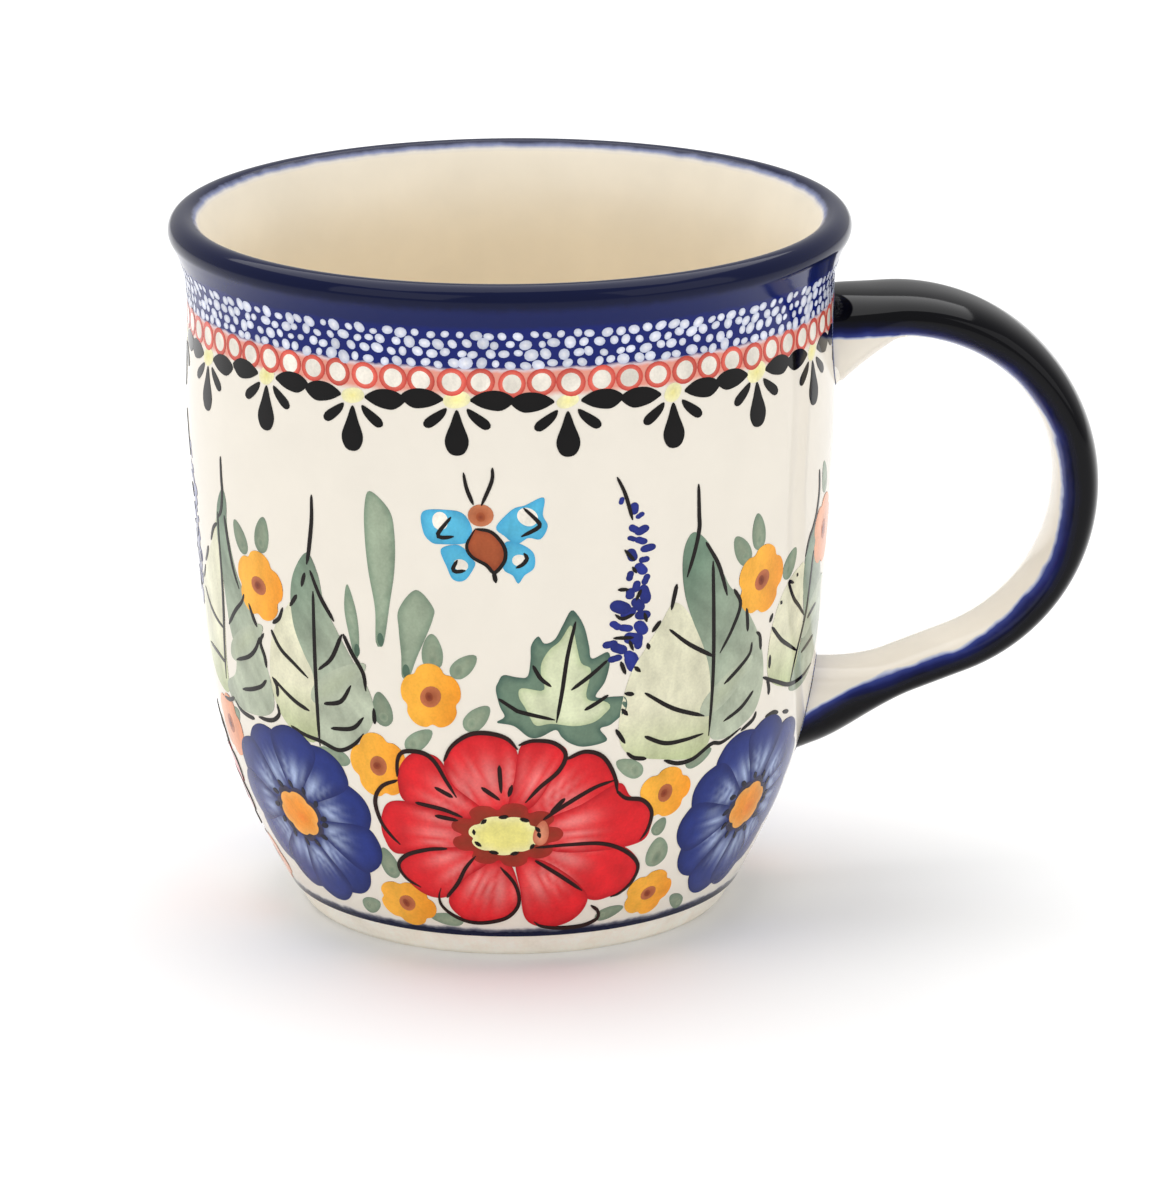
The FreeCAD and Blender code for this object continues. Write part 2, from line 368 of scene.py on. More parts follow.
def strap_ring(station, growth):
    """A cross-section of the strap: its points, and how far each stands out from its middle."""
    point, along, share, near = station
    upper = share < 0.5
    finger_flare = UPPER_FINGER_FLARE if upper else LOWER_FINGER_FLARE
    outer_flare = UPPER_OUTER_FLARE if upper else LOWER_OUTER_FLARE
    half = np.interp(share, (0, 1), HANDLE_THICKNESS) / 2 + growth
    outer = half + levelling(near, outer_flare)
    finger = half + finger_flare[0] * nearness(near, finger_flare[1]) ** finger_flare[2]
    wide = np.interp(share, (0, 1), HANDLE_WIDTH) / 2 + growth + levelling(near, EDGE_FLARE)
    angles = np.arange(HANDLE_RING) * 2 * math.pi / HANDLE_RING
    up = np.sign(np.cos(angles)) * np.abs(np.cos(angles)) ** (2 / SECTION_POWER)
    side = np.sign(np.sin(angles)) * np.abs(np.sin(angles)) ** (2 / SECTION_POWER)
    rise = (outer - finger) / 2 + up * (outer + finger) / 2
    x = point[0] - along[1] * rise
    z = point[1] + along[0] * rise
    return np.stack([x, side * wide, z], axis=1), rise


def stopped_at_wall(ring, along, wall, depth):
    """The ring with every point that lies too deep in the wall drawn back out along the strap."""
    ring = ring.copy()
    for _ in range(WALL_PASSES):
        radius = np.hypot(ring[:, 0], ring[:, 1])
        target = np.interp(ring[:, 2], wall[:, 1], wall[:, 0]) - depth
        back = np.maximum(target - radius, 0) / abs(along[0])
        ring[:, 0] += back * abs(along[0])
        ring[:, 2] += back * along[1] * np.sign(along[0])
    return ring


def paint_edge(share, near):
    """Where the dark paint stops on the strap, in mm from its middle towards the outside."""
    rise, length = PAINT_EDGE_RISE
    return np.interp(share, PAINT_EDGE_SHARES, PAINT_EDGE) + rise * nearness(near, length)


def make_handle_coat(material):
    points = []
    level = []
    faces = []
    stations = handle_stations()
    for station in stations:
        ring, rise = strap_ring(station, GLAZE)
        points.append(stopped_at_wall(ring, station[1], CLAY_WALL, COAT_ROOT_DEPTH))
        level.append(rise - paint_edge(station[2], station[3]))
    for i in range(len(stations) - 1):
        for j in range(HANDLE_RING):
            k = (j + 1) % HANDLE_RING
            a, b = i * HANDLE_RING, (i + 1) * HANDLE_RING
            faces.append((a + j, b + j, b + k, a + k))
    last = (len(stations) - 1) * HANDLE_RING
    faces.append(tuple(range(HANDLE_RING)))
    faces.append(tuple(range(last + HANDLE_RING - 1, last - 1, -1)))
    piece = new_piece("handle_glaze_coat", np.vstack(points), faces, material)
    attribute = piece.data.attributes.new("level", "FLOAT", "POINT")
    attribute.data.foreach_set("value", np.concatenate(level).astype(np.float32))
    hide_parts("handle_glaze")


def root_outline(upper):
    """The (u, z) outline in which one end of the strap meets the outer glaze."""
    stations = handle_stations()
    station = stations[0] if upper else stations[-1]
    ring = stopped_at_wall(strap_ring(station, GLAZE)[0], station[1], GLAZE_WALL, 0)
    turn = np.arctan2(ring[:, 1], ring[:, 0]) - math.radians(FRONT_DEG)
    return np.stack([turn * PAINT_R, ring[:, 2]], axis=1)


# ---- brush marks -------------------------------------------------------------------------

def within(points, outline):
    """Which points lie inside a closed outline."""
    x, y = points[:, :1], points[:, 1:]
    x0, y0 = outline[:, 0], outline[:, 1]
    x1, y1 = np.roll(x0, -1), np.roll(y0, -1)
    spans = (y0 > y) != (y1 > y)
    rise = np.where(y1 == y0, 1, y1 - y0)
    crossed = spans & (x < (x1 - x0) * (y - y0) / rise + x0)
    return crossed.sum(axis=1) % 2 == 1


def edge_distance(points, outline):
    """How far each point is from the nearest point of an outline."""
    gaps = np.linalg.norm(points[:, None] - outline[None], axis=2)
    return gaps.min(axis=1)


class Layer:
    """Brush marks that end up as one piece of thin closed shells on the glaze."""

    def __init__(self, name):
        self.name = name
        self.points = []
        self.normals = []
        self.colours = []
        self.faces = []
        self.count = 0

    def add(self, uz, faces, colours, level):
        top, normal = on_wall(uz, FIRST_LIFT + LIFT_STEP * level)
        bottom, _ = on_wall(uz, -PAINT_DEPTH)
        n = len(uz)
        over = self.count
        under = over + n
        borders = {}
        for face in faces:
            self.faces.append([over + i for i in face])
            self.faces.append([under + i for i in reversed(face)])
            for a, b in zip(face, face[1:] + face[:1]):
                if (b, a) in borders:
                    del borders[(b, a)]
                else:
                    borders[(a, b)] = True
        for a, b in borders:
            self.faces.append([over + b, over + a, under + a, under + b])
        self.points += [top, bottom]
        self.normals += [normal, normal]
        self.colours += [colours, colours]
        self.count += 2 * n

    def finish(self, material):
        normals = np.vstack(self.normals)
        points = np.vstack(self.points)
        piece = new_piece(self.name, points, self.faces, material, normals)
        colours = np.hstack([np.vstack(self.colours), np.ones((self.count, 1))])
        attribute = piece.data.attributes.new("paint", "FLOAT_COLOR", "POINT")
        attribute.data.foreach_set("color", colours.astype(np.float32).ravel())


def facing_out(uz, face):
    """The face with its corners in the order that turns it away from the wall."""
    a, b, c = (uz[i] for i in face[:3])
    turn = (b[0] - a[0]) * (c[1] - a[1]) - (b[1] - a[1]) * (c[0] - a[0])
    return list(face) if turn > 0 else list(reversed(face))


def blob(layer, outline, paint, level, at=(0, 0), grid=GRID):
    """A filled brush mark with a smooth closed outline."""
    rim = brush_curve(outline, True, RIM_STEP * grid)
    low, high = rim.min(axis=0), rim.max(axis=0)
    us = np.arange(low[0], high[0], grid)
    zs = np.arange(low[1], high[1], grid * ROW_STEP)
    u, z = np.meshgrid(us, zs)
    u[1::2] += grid / 2
    inner = np.stack([u.ravel(), z.ravel()], axis=1)
    inner = inner[within(inner, rim)]
    if len(inner):
        inner = inner[edge_distance(inner, rim) > RIM_CLEARANCE * grid]
    both = np.vstack([rim, inner])
    corners = [Vector(p) for p in both.tolist()]
    found = geometry.delaunay_2d_cdt(corners, [], [list(range(len(rim)))], 1, WELD)
    uz = np.array([(p.x, p.y) for p in found[0]])
    faces = [facing_out(uz, f) for f in found[2]]
    colours = paint(uz, edge_distance(uz, rim))
    layer.add(uz + np.array(at), faces, colours, level)


def disc(layer, centre, radii, paint, level, wobble=0.06, hole=0.0, around=20, at=(0, 0)):
    """A round dab, or a ring where hole is the share of its radius that is left open."""
    centre = np.add(centre, at)
    angles = np.arange(around) * 2 * math.pi / around
    reach = 1 + wobble * np.sin(2 * angles + rng.uniform(0, 6)) + wobble * rng.uniform(-1, 1)
    unit = np.stack([np.cos(angles), np.sin(angles)], axis=1) * reach[:, None]
    rim = centre + unit * np.array(radii)
    if hole:
        uz = np.vstack([rim, centre + unit * np.array(radii) * hole])
        faces = [[i, (i + 1) % around, around + (i + 1) % around, around + i] for i in range(around)]
    else:
        uz = np.vstack([rim, centre])
        faces = [[i, (i + 1) % around, around] for i in range(around)]
    layer.add(uz, faces, paint(uz, edge_distance(uz, rim)), level)


def stroke(layer, points, width, level, at, colour=INK):
    """A brush line that starts full and thins towards its end."""
    curve = brush_curve(points, False, STROKE_STEP)
    share = np.linspace(0, 1, len(curve))
    swell = 0.72 + 0.28 * np.sin(share * math.pi + rng.uniform(-0.5, 0.5))
    ends = np.sqrt(np.clip(np.minimum(share / STROKE_FILLS, (1 - share) / STROKE_THINS), STROKE_TIP, 1))
    half = (width / 2 * swell * ends)[:, None]
    side = sideways(curve)
    uz = np.vstack([curve - side * half, curve + side * half])
    n = len(curve)
    faces = [[i, n + i, n + i + 1, i + 1] for i in range(n - 1)]
    colours = np.tile(linear(colour), (2 * n, 1))
    layer.add(uz + np.array(at), faces, colours, level)


# ---- paints ------------------------------------------------------------------------------

def mixed(a, b, share):
    share = np.clip(share, 0, 1)[:, None]
    return a * (1 - share) + b * share


def wash(body, rim, rim_width=0.7, spread=0.06):
    """A watery mark: its pigment settles at the edge, and no two are equally strong."""
    shade = 1 + rng.uniform(-spread, spread)

    def paint(uz, edge):
        return mixed(linear(body), linear(rim), np.exp(-(edge / rim_width) ** 2)) * shade
    return paint


def graded(low, high, start, end):
    """A wash that turns from one colour to another between two (u, z) points."""
    a = np.array(start, float)
    way = np.array(end, float) - a

    def paint(uz, edge):
        share = (uz - a) @ way / (way @ way)
        return mixed(linear(low), linear(high), share)
    return paint


def brushed(low, high, start, end, amount=0.36):
    """A graded wash with the streaks of a half-dry brush drawn along it."""
    base = graded(low, high, start, end)
    way = np.array(end, float) - np.array(start, float)
    way /= np.linalg.norm(way)
    phase = rng.uniform(0, 6)

    def paint(uz, edge):
        along = uz @ way
        across = uz @ np.array([-way[1], way[0]])
        fine = np.sin(2.9 * across + 2.4 * np.sin(.23 * along + .6 * across + phase))
        broad = np.sin(.8 * across + 1.7 * np.sin(.17 * along + phase) - phase)
        streak = .5 + .16 * fine + .3 * broad
        return base(uz, edge) * (1 + amount * (streak - .5))[:, None]
    return paint


def streaked(centre, body, light, rim, inner, outer, strength, rim_width):
    """Petal paint: light streaks that run out from the flower's centre, and a darker edge."""
    phase = rng.uniform(0, 6)

    def paint(uz, edge):
        way = (uz - np.array(centre)) * np.array([1, FLOWER_STRETCH])
        reach = np.linalg.norm(way, axis=1)
        angle = np.arctan2(way[:, 1], way[:, 0])
        streak = 0.62 + 0.38 * np.sin(angle * 37 + 2 * np.sin(angle * 9 + phase))
        middle = (inner + outer) / 2
        glow = np.exp(-((reach - middle) / ((outer - inner) / 2)) ** 2)
        inside = np.clip(edge / 1.3, 0, 1)
        colour = mixed(linear(body), linear(light), strength * glow * streak * inside)
        return mixed(colour, linear(rim), 0.75 * np.exp(-(edge / rim_width) ** 2))
    return paint


# ---- border stamps -----------------------------------------------------------------------

SPOT_ROWS = (83.6, 84.95, 86.25, 87.5)
SPOTS_PER_ROW = 146
SPOT_R = (.50, .80)                 # smallest and largest
SPOT_SCATTER = (.32, .2)            # round the wall and up it
RINGS = 70
RING_Z = 81.2
RING_R = 1.8
RING_HOLE = 0.68                    # the ring's hole as a share of its radius
RING_SCATTER = .12
PETAL_STAMPS = 19
STAMP_START_U = -6.8
STAMP_Z = 78.5
STAMP_SCATTER = (.4, .3)
SIDE_PETAL = [(1.7, .3), (3.4, 1.3), (5.4, 1.4), (6.9, .7), (7.1, 0), (5.6, -1.1), (3.6, -.9), (2.1, -.2)]
DIAGONAL_PETAL = [(1.3, -.9), (2.6, -1.5), (4, -2.5), (4.2, -3.3), (3.5, -3.6), (2.5, -3), (1.5, -1.9)]
DROP_PETAL = [(0, -1.1), (.8, -3), (1.5, -5.1), (1, -6.6), (0, -7), (-1, -6.6), (-1.5, -5.1), (-.8, -3)]


def make_spots(material):
    spots = Layer("border_spots")
    pitch = ROUND / SPOTS_PER_ROW
    for row, z in enumerate(SPOT_ROWS):
        for i in range(SPOTS_PER_ROW):
            u = (i + row % 2 / 2) * pitch + rng.uniform(-SPOT_SCATTER[0], SPOT_SCATTER[0])
            place = (u, z + rng.uniform(-SPOT_SCATTER[1], SPOT_SCATTER[1]))
            size = rng.uniform(*SPOT_R)
            white = wash(SPOT_WHITE, SPOT_RIM, .1)
            disc(spots, place, (size, size * rng.uniform(.8, 1.05)), white, 1 + i % 2, .1, around=12)
    spots.finish(material)


def make_rings(material):
    rings = Layer("border_rings")
    for i in range(RINGS):
        u = i * ROUND / RINGS + rng.uniform(-RING_SCATTER, RING_SCATTER)
        place = (u, RING_Z + rng.uniform(-RING_SCATTER, RING_SCATTER))
        disc(rings, place, (RING_R, RING_R), wash(CORAL, CORAL_RIM, .2, .12), 1 + i % 2, .03, RING_HOLE)
        disc(rings, place, (RING_R * RING_HOLE,) * 2, wash(CREAM, CREAM), 0, 0)
    rings.finish(material)


def make_petal_stamps(material):
    """Black stamps that hang from the rings, on levels above them so that nothing flickers."""
    stamps = Layer("border_petal_stamps")
    for i in range(PETAL_STAMPS):
        u = i * ROUND / PETAL_STAMPS + STAMP_START_U + rng.uniform(-STAMP_SCATTER[0], STAMP_SCATTER[0])
        at = (u, STAMP_Z + rng.uniform(-STAMP_SCATTER[1], STAMP_SCATTER[1]))
        disc(stamps, (0, .2), (1.5, 1.2), wash(PALE_YELLOW, YELLOW_RIM), 0, .15, at=at)
        for mirror in (1, -1):
            for petal in (SIDE_PETAL, DIAGONAL_PETAL):
                outline = [(mirror * u, z) for u, z in petal]
                blob(stamps, outline, wash(STAMP_BLACK, STAMP_RIM, .6, .2), 3 + (mirror > 0), at)
        blob(stamps, DROP_PETAL, wash(STAMP_BLACK, STAMP_RIM, .6, .2), 5, at)
    stamps.finish(material)


# ---- leaves ------------------------------------------------------------------------------

LEAF_A = {
    "name": "leaf_a",
    "pale": [(-47.3, 57), (-50, 53.5), (-53, 50), (-56.5, 46.5), (-57.5, 42), (-57, 37), (-54.5, 33.3),
             (-49.5, 32.5), (-48.5, 38), (-47.6, 44), (-47, 50)],
    "dark": [(-45.1, 61.6), (-44.2, 60), (-44.5, 57), (-44, 54), (-43, 51), (-41.5, 48.6), (-39.8, 46),
             (-38.3, 42.5), (-37.2, 39), (-36.4, 35.5), (-37, 33), (-40, 31.6), (-45, 31.2), (-48.5, 32),
             (-49.3, 34), (-46, 36), (-45, 39), (-46.2, 43), (-47, 49), (-47.8, 55), (-47, 59)],
    "lines": [
        [(-45, 66), (-45.1, 63), (-45.1, 61), (-45.8, 58.6), (-47, 57.2)],
        [(-47, 58), (-47.3, 54), (-47.4, 49), (-47.9, 44), (-48.7, 39.5), (-49.7, 34.3)],
        [(-45, 58), (-44.5, 54.5), (-43.6, 51), (-42.4, 48.6)],
        [(-40.2, 47.2), (-39.3, 45.2), (-38.6, 44.3)],
        [(-37.3, 43.7), (-38.2, 42.3), (-37.5, 40.5), (-37.3, 39)],
        [(-36.2, 38), (-35.4, 36.8), (-35.5, 35.4)],
        [(-35.8, 34.3), (-35.6, 33), (-36.8, 31.9), (-38.5, 31.4), (-40.7, 31.3)],
        [(-42, 30.7), (-44, 30.7), (-46, 31), (-47.3, 32)], [(-47.5, 32.2), (-49.5, 31.4), (-51.8, 31.2)],
        [(-41.2, 48.2), (-42, 46.9), (-44, 45.2), (-46.3, 42.8)],
        [(-38.2, 43), (-39.5, 41), (-41.5, 39.5), (-45, 38.2)],
        [(-37.6, 37.2), (-39, 36), (-41.5, 35), (-44.2, 34.3)],
        [(-48.5, 41.7), (-51, 42.4), (-53.5, 43.6), (-55.6, 45.5)],
        [(-49.3, 36.7), (-52, 37.3), (-56, 37.7)],
        [(-47.6, 56.3), (-49, 55.3), (-50.4, 53.3)], [(-52, 52), (-53, 50.5), (-54, 49.5)],
        [(-54.3, 48.8), (-55.5, 47.3), (-57, 46.5)],
    ],
}
LEAF_B = {
    "name": "leaf_b",
    "pale": [(-28.5, 53.8), (-31, 50), (-33.5, 47), (-35.3, 44.3), (-36.3, 41), (-36.6, 37), (-35.5, 33.5),
             (-33, 31.2), (-29, 30.5), (-28, 36), (-27.8, 44), (-27.6, 50)],
    "dark": [(-28.1, 56.6), (-26.5, 54), (-25.7, 50), (-23.9, 46.6), (-21.5, 42.5), (-19.5, 39), (-19, 36),
             (-20, 33.5), (-22.5, 31.2), (-25.5, 30.2), (-28.2, 30.6), (-28.2, 36), (-28.3, 40),
             (-29.6, 42.5), (-31.1, 46), (-31.4, 50), (-30.5, 53.6)],
    "lines": [
        [(-26.8, 64.6), (-27, 61), (-27.8, 56.5), (-28.2, 55)],
        [(-27.4, 51.5), (-27.7, 44), (-28, 36), (-28.3, 30)],
        [(-27.3, 40.8), (-25, 42.8), (-23.2, 46.3)], [(-23, 46.4), (-21.8, 44), (-20.3, 41.5), (-20, 39)],
        [(-26.8, 36.2), (-24, 37), (-22.2, 39.5)], [(-26, 32.9), (-22.5, 33.5), (-20.6, 35.3)],
        [(-35.6, 44.6), (-34, 42.4), (-31.5, 40.8), (-29.2, 39.3)],
        [(-36, 37.9), (-34, 36.6), (-31.7, 35.4), (-29.5, 34.7)],
        [(-28.6, 53.8), (-29.3, 51.8)], [(-30.2, 50.5), (-31.6, 48.7)],
        [(-33, 48.2), (-33.8, 46.6), (-35.2, 45.6)],
        [(-27.7, 54.3), (-26.3, 51), (-24.3, 47.9)], [(-19, 36.8), (-19, 34.6)],
        [(-33.4, 31.8), (-31, 31.1), (-28, 30.7), (-25, 30), (-22.5, 31.2), (-20.8, 33)],
    ],
}
LEAF_C = {
    "name": "leaf_c",
    "pale": [(24.3, 48), (21.6, 50.5), (19.6, 48), (17.6, 45), (15.6, 41.8), (14.4, 37.5), (14.2, 33),
             (16, 30.3), (21, 29), (25.5, 28.4), (28.4, 30), (28.6, 36), (27.2, 42)],
    "dark": [(24.8, 59.4), (23.6, 59.4), (22.7, 57.5), (22.6, 54.5), (23.2, 51), (24.5, 47.5), (26.3, 43.8),
             (27.6, 40), (28.2, 35), (28.6, 30.8), (31.5, 30), (34.5, 31), (37.2, 32.6), (38.3, 36),
             (37.8, 40), (36.3, 43.6), (34, 47), (32.4, 49.4), (30.4, 51.2), (28.6, 54.2), (26.6, 57.6)],
    "lines": [
        [(24.6, 66), (24.8, 62), (24.9, 60), (24.3, 57), (23.3, 53.7)],
        [(27.3, 55.2), (27.8, 48), (28.2, 40), (28.3, 31)],
        [(26, 58), (28, 55), (29, 52.8), (30, 50)], [(31.2, 50.6), (32.5, 48.3), (31.2, 45.2), (29.2, 42.3)],
        [(33.7, 47.5), (34, 46), (34.2, 44.2)], [(36, 43.7), (36.8, 43), (37.2, 41)],
        [(35.2, 42.5), (34.9, 41), (33, 39.5), (30.3, 37.8)], [(36.3, 35.5), (34, 33.7), (30.8, 32.5)],
        [(21.8, 53), (21.1, 49.6)], [(19.6, 48.4), (18.4, 47)], [(17.8, 45.6), (18, 44.7)],
        [(16, 42.6), (16.9, 41.8)], [(14.1, 43.5), (14.8, 41.7)], [(14.7, 39.1), (16.1, 38.8)],
        [(14.4, 37), (15.3, 36)], [(13.7, 34.2), (15.1, 32.1)], [(15.4, 30.8), (16.5, 29.9), (18.4, 29.5)],
        [(20.9, 47), (24, 44.5), (28.2, 42)], [(17.6, 38.8), (22, 36), (27.2, 34)],
        [(17.9, 32.7), (21, 31.3), (24, 31.2), (27.3, 31.5)],
        [(21.2, 28.8), (23.5, 28), (26, 28.2), (29, 29.7), (31, 29.5), (34.5, 30.7)],
        [(34.6, 30.3), (37, 31.3), (37.5, 32.3)],
    ],
}
LEAF_D = {
    "name": "leaf_d",
    "pale": [(43.3, 49), (45.6, 50), (47.8, 50), (48, 45), (48.6, 41), (47.6, 37), (46, 34), (42.5, 34.6),
             (39.8, 36.3), (39, 39), (39.4, 43), (41, 46.6)],
    "dark": [(51, 54.8), (49.3, 53.8), (48, 51.2), (47.7, 47.5), (48.6, 43.5), (48.9, 40.5), (47.4, 36.5),
             (46, 33.2), (50, 32.4), (54.5, 33.6), (57.2, 37), (57.6, 41.5), (56.2, 46), (54, 50),
             (52.4, 53.2)],
    "lines": [
        [(51.3, 62), (51.8, 59), (51.3, 56.3), (50.3, 54.6), (48.9, 53.2), (47.9, 51)],
        [(51, 51), (50.3, 46.5), (49.5, 42.9), (48.3, 40.3), (47, 37.5), (46, 34)],
        [(44.6, 48.3), (43.2, 48.7), (44.8, 46.2), (46.8, 44.5), (48.9, 42.7)],
        [(39.5, 43.5), (42, 41.2), (44.5, 39.7), (47.3, 38.2)],
        [(38.2, 36.9), (42, 35.3), (46, 33.9), (51, 33.7), (55, 34.3)],
        [(49, 37.5), (51.5, 38), (54, 38.5)], [(50.3, 41.9), (52, 42.5), (54, 43)],
        [(39.5, 45.4), (38.9, 44.3)], [(39.5, 39.7), (39.6, 37.8)], [(39.3, 36.5), (40, 35), (40.1, 34)],
        [(45.3, 49.3), (45.8, 49)], [(41.2, 46.6), (41.7, 46.2)],
        [(40, 30.9), (42, 31), (43.5, 30.6)], [(45, 30.3), (47, 29.8)],
    ],
}
SPINDLE_LEAVES = [
    ([(-18.2, 66.3), (-15.6, 64), (-15, 60.5), (-15.2, 56), (-16, 51.5), (-17, 46.2), (-17.6, 45.4),
      (-18.2, 46), (-18.1, 50.5), (-18.8, 55.5), (-19.1, 60), (-19, 64)], (-17.5, 46.4), (.5, .9)),
    ([(-22, 53.3), (-20.9, 50), (-20.6, 46.5), (-20.9, 43.6), (-21.4, 43.5), (-22, 46), (-22.6, 50)],
     (-21, 44.5), (.4, .9)),
    ([(-12.4, 53.6), (-10.2, 51.4), (-10.3, 49.8), (-11.2, 47.5), (-12.6, 44.4), (-13.7, 41.7),
      (-14.7, 41.6), (-14.7, 44.5), (-14.9, 48), (-14.8, 50.8)], (-14.1, 42.4), (.5, .9)),
]
DAB_PINCH = 0.25                    # how much narrower a dab is towards one end
# centre u and z, half length, half width, degrees that it leans from level
DABS = [
    (-10.5, 45.3, 2.5, 1.4, 90), (-6.4, 43.6, 2.2, 1.2, 42), (-17.8, 36.8, 2.4, 1.4, 100),
    (-4.8, 36.5, 2.3, 1.3, 46), (-12.8, 33, 2.4, 1.2, 38), (-26.3, 29, 2.9, 1.1, 172),
    (-20, 14, 2.4, 1.5, 100), (-26.3, 6.3, 2.2, 1.2, 20), (-12, 5.8, 3, 1, 176), (22, 19, 1.4, 1.1, 60),
    (22.6, 15, 2.3, 1.9, 100), (16.5, 6.2, 2.6, 1, 12), (16, 28.5, 2.3, 1.2, 150), (27, 28.2, 2.3, 1.1, 20),
    (-41.2, 56, 2.4, 1.3, 118), (-36.2, 57.4, 2.6, 1.4, 76), (32.4, 55.6, 2.5, 1.3, 124),
    (35.4, 57.5, 2.6, 1.3, 100), (43.3, 51.3, 2.3, 1.4, 52), (54.2, 60.3, 2.5, 1.2, 112),
    (30.5, 5.8, 2.2, 1, 150), (-48.2, 29.6, 1.8, 1.2, 30),
]
MAPLE_RIM = [
    (7.4, 51), (6.3, 49), (5.3, 47.2), (4, 46.7), (3.2, 47.7), (2.3, 46.5), (2.2, 44.5), (1.8, 42.3),
    (.5, 42.2), (-1.3, 42.5), (-2, 41.5), (-2.3, 40.5), (-1.8, 38.2), (-1.2, 36.8), (-2.2, 36), (0, 35.5),
    (2, 33.9), (3.5, 33.9), (5.5, 34.8), (6.3, 33.8), (7.5, 32.8), (9.5, 32.2), (12.5, 32.8), (11.5, 34.5),
    (13, 35), (15, 36.8), (14.9, 38.5), (13.5, 38.8), (10.8, 39), (12, 41), (12.6, 43.5), (12.3, 45),
    (10.2, 44.3), (9.8, 46), (9.2, 48.5), (8.3, 50.3),
]
MAPLE_MIDDLE = [
    (7.3, 49), (6, 47), (4.6, 45.8), (3.6, 44), (3.6, 42), (4, 41), (3.6, 40.3), (1, 40.7), (.7, 39.5),
    (1.5, 38), (2.2, 36.5), (3, 35.5), (5, 35.7), (8, 35.2), (10.5, 35.5), (12, 36.5), (12.8, 37.5),
    (12, 38.3), (10, 38.6), (9.5, 39.5), (9.9, 41.5), (10, 43), (8.8, 43.8), (8.2, 46), (7.8, 48),
]
MAPLE_LINES = [
    [(8, 49.5), (7, 45), (6.3, 40), (5.6, 35.8)], [(2.5, 43.8), (3.5, 42), (4.9, 40.8)],
    [(12.3, 43.9), (10, 42), (7.5, 40.2)], [(-2, 39.3), (0, 37.9), (1, 37.4), (5.4, 36.2)],
    [(12.5, 39.1), (11, 38.2), (9.3, 37.3)],
]


def oval(u, z, long, wide, degrees):
    """The outline of a leaf-shaped dab that is fatter towards one end."""
    a = math.radians(degrees)
    outline = []
    for t in np.arange(8) * 2 * math.pi / 8:
        x = long * math.cos(t)
        y = wide * math.sin(t) * (1 - DAB_PINCH * math.cos(t))
        outline.append((u + x * math.cos(a) - y * math.sin(a), z + x * math.sin(a) + y * math.cos(a)))
    return outline


def make_green_dabs(material, tag, at):
    dabs = Layer(f"green_dabs_{tag}")
    for u, z, long, wide, lean in DABS:
        blob(dabs, oval(u, z, long, wide, lean), wash(DAB_GREEN, DAB_RIM, .5, .14), 0, at)
        a = math.radians(lean)
        spot = (u - .45 * long * math.cos(a), z - .45 * long * math.sin(a))
        disc(dabs, spot, (.45 * wide, .55 * wide), wash(DAB_SPOT, DAB_GREEN, .5), 1, .1, at=at)
    for outline, tip, size in SPINDLE_LEAVES:
        blob(dabs, outline, wash(SPINDLE_GREEN, SPINDLE_RIM, .5), 0, at)
        disc(dabs, tip, size, wash(DARK_GREEN, DARK_GREEN), 1, .05, at=at)
    dabs.finish(material)


def make_leaf(material, tag, at, leaf, lines):
    """One two-toned leaf. Its black lines go on the layer that all the leaves share."""
    fill = Layer(f"{leaf['name']}_{tag}")
    pale = np.array(leaf["pale"])
    dark = np.array(leaf["dark"])
    foot, head = pale[:, 1].min(), pale[:, 1].max()
    middle = pale[:, 0].mean()
    pale_wash = brushed(LEAF_FOOT, LEAF_PALE, (middle, foot), (middle, foot + 8), .16)
    blob(fill, leaf["pale"], pale_wash, 1, at, .8)
    shade = brushed(LEAF_TEAL, LEAF_DARK, (dark[:, 0].min(), head + 2), (dark[:, 0].max(), foot + 12))
    blob(fill, leaf["dark"], shade, 2, at, .7)
    sheen = oval(dark[:, 0].mean() + 1.5, foot + 9, 5.5, 1.7, 35)
    blob(fill, sheen, wash(LEAF_SHEEN, LEAF_DARK, 1.2), 3, at)
    fill.finish(material)
    for points in leaf["lines"]:
        stroke(lines, points, .6, 6, at)


def make_maple_leaf(material, tag, at, lines):
    maple = Layer(f"maple_leaf_{tag}")
    blob(maple, MAPLE_RIM, wash(LEAF_TEAL, MAPLE_EDGE, .5), 1, at, .8)
    blob(maple, MAPLE_MIDDLE, wash(MAPLE_PALE, MAPLE_PALE_RIM, .5), 3, at, .8)
    maple.finish(material)
    for points in MAPLE_LINES:
        stroke(lines, points, .55, 6, at)


def make_leaves(material, tag, at):
    make_green_dabs(material, tag, at)
    lines = Layer(f"leaf_lines_{tag}")
    for leaf in (LEAF_A, LEAF_B, LEAF_C, LEAF_D):
        make_leaf(material, tag, at, leaf, lines)
    make_maple_leaf(material, tag, at, lines)
    lines.finish(material)


# ---- butterfly and hyacinths -------------------------------------------------------------

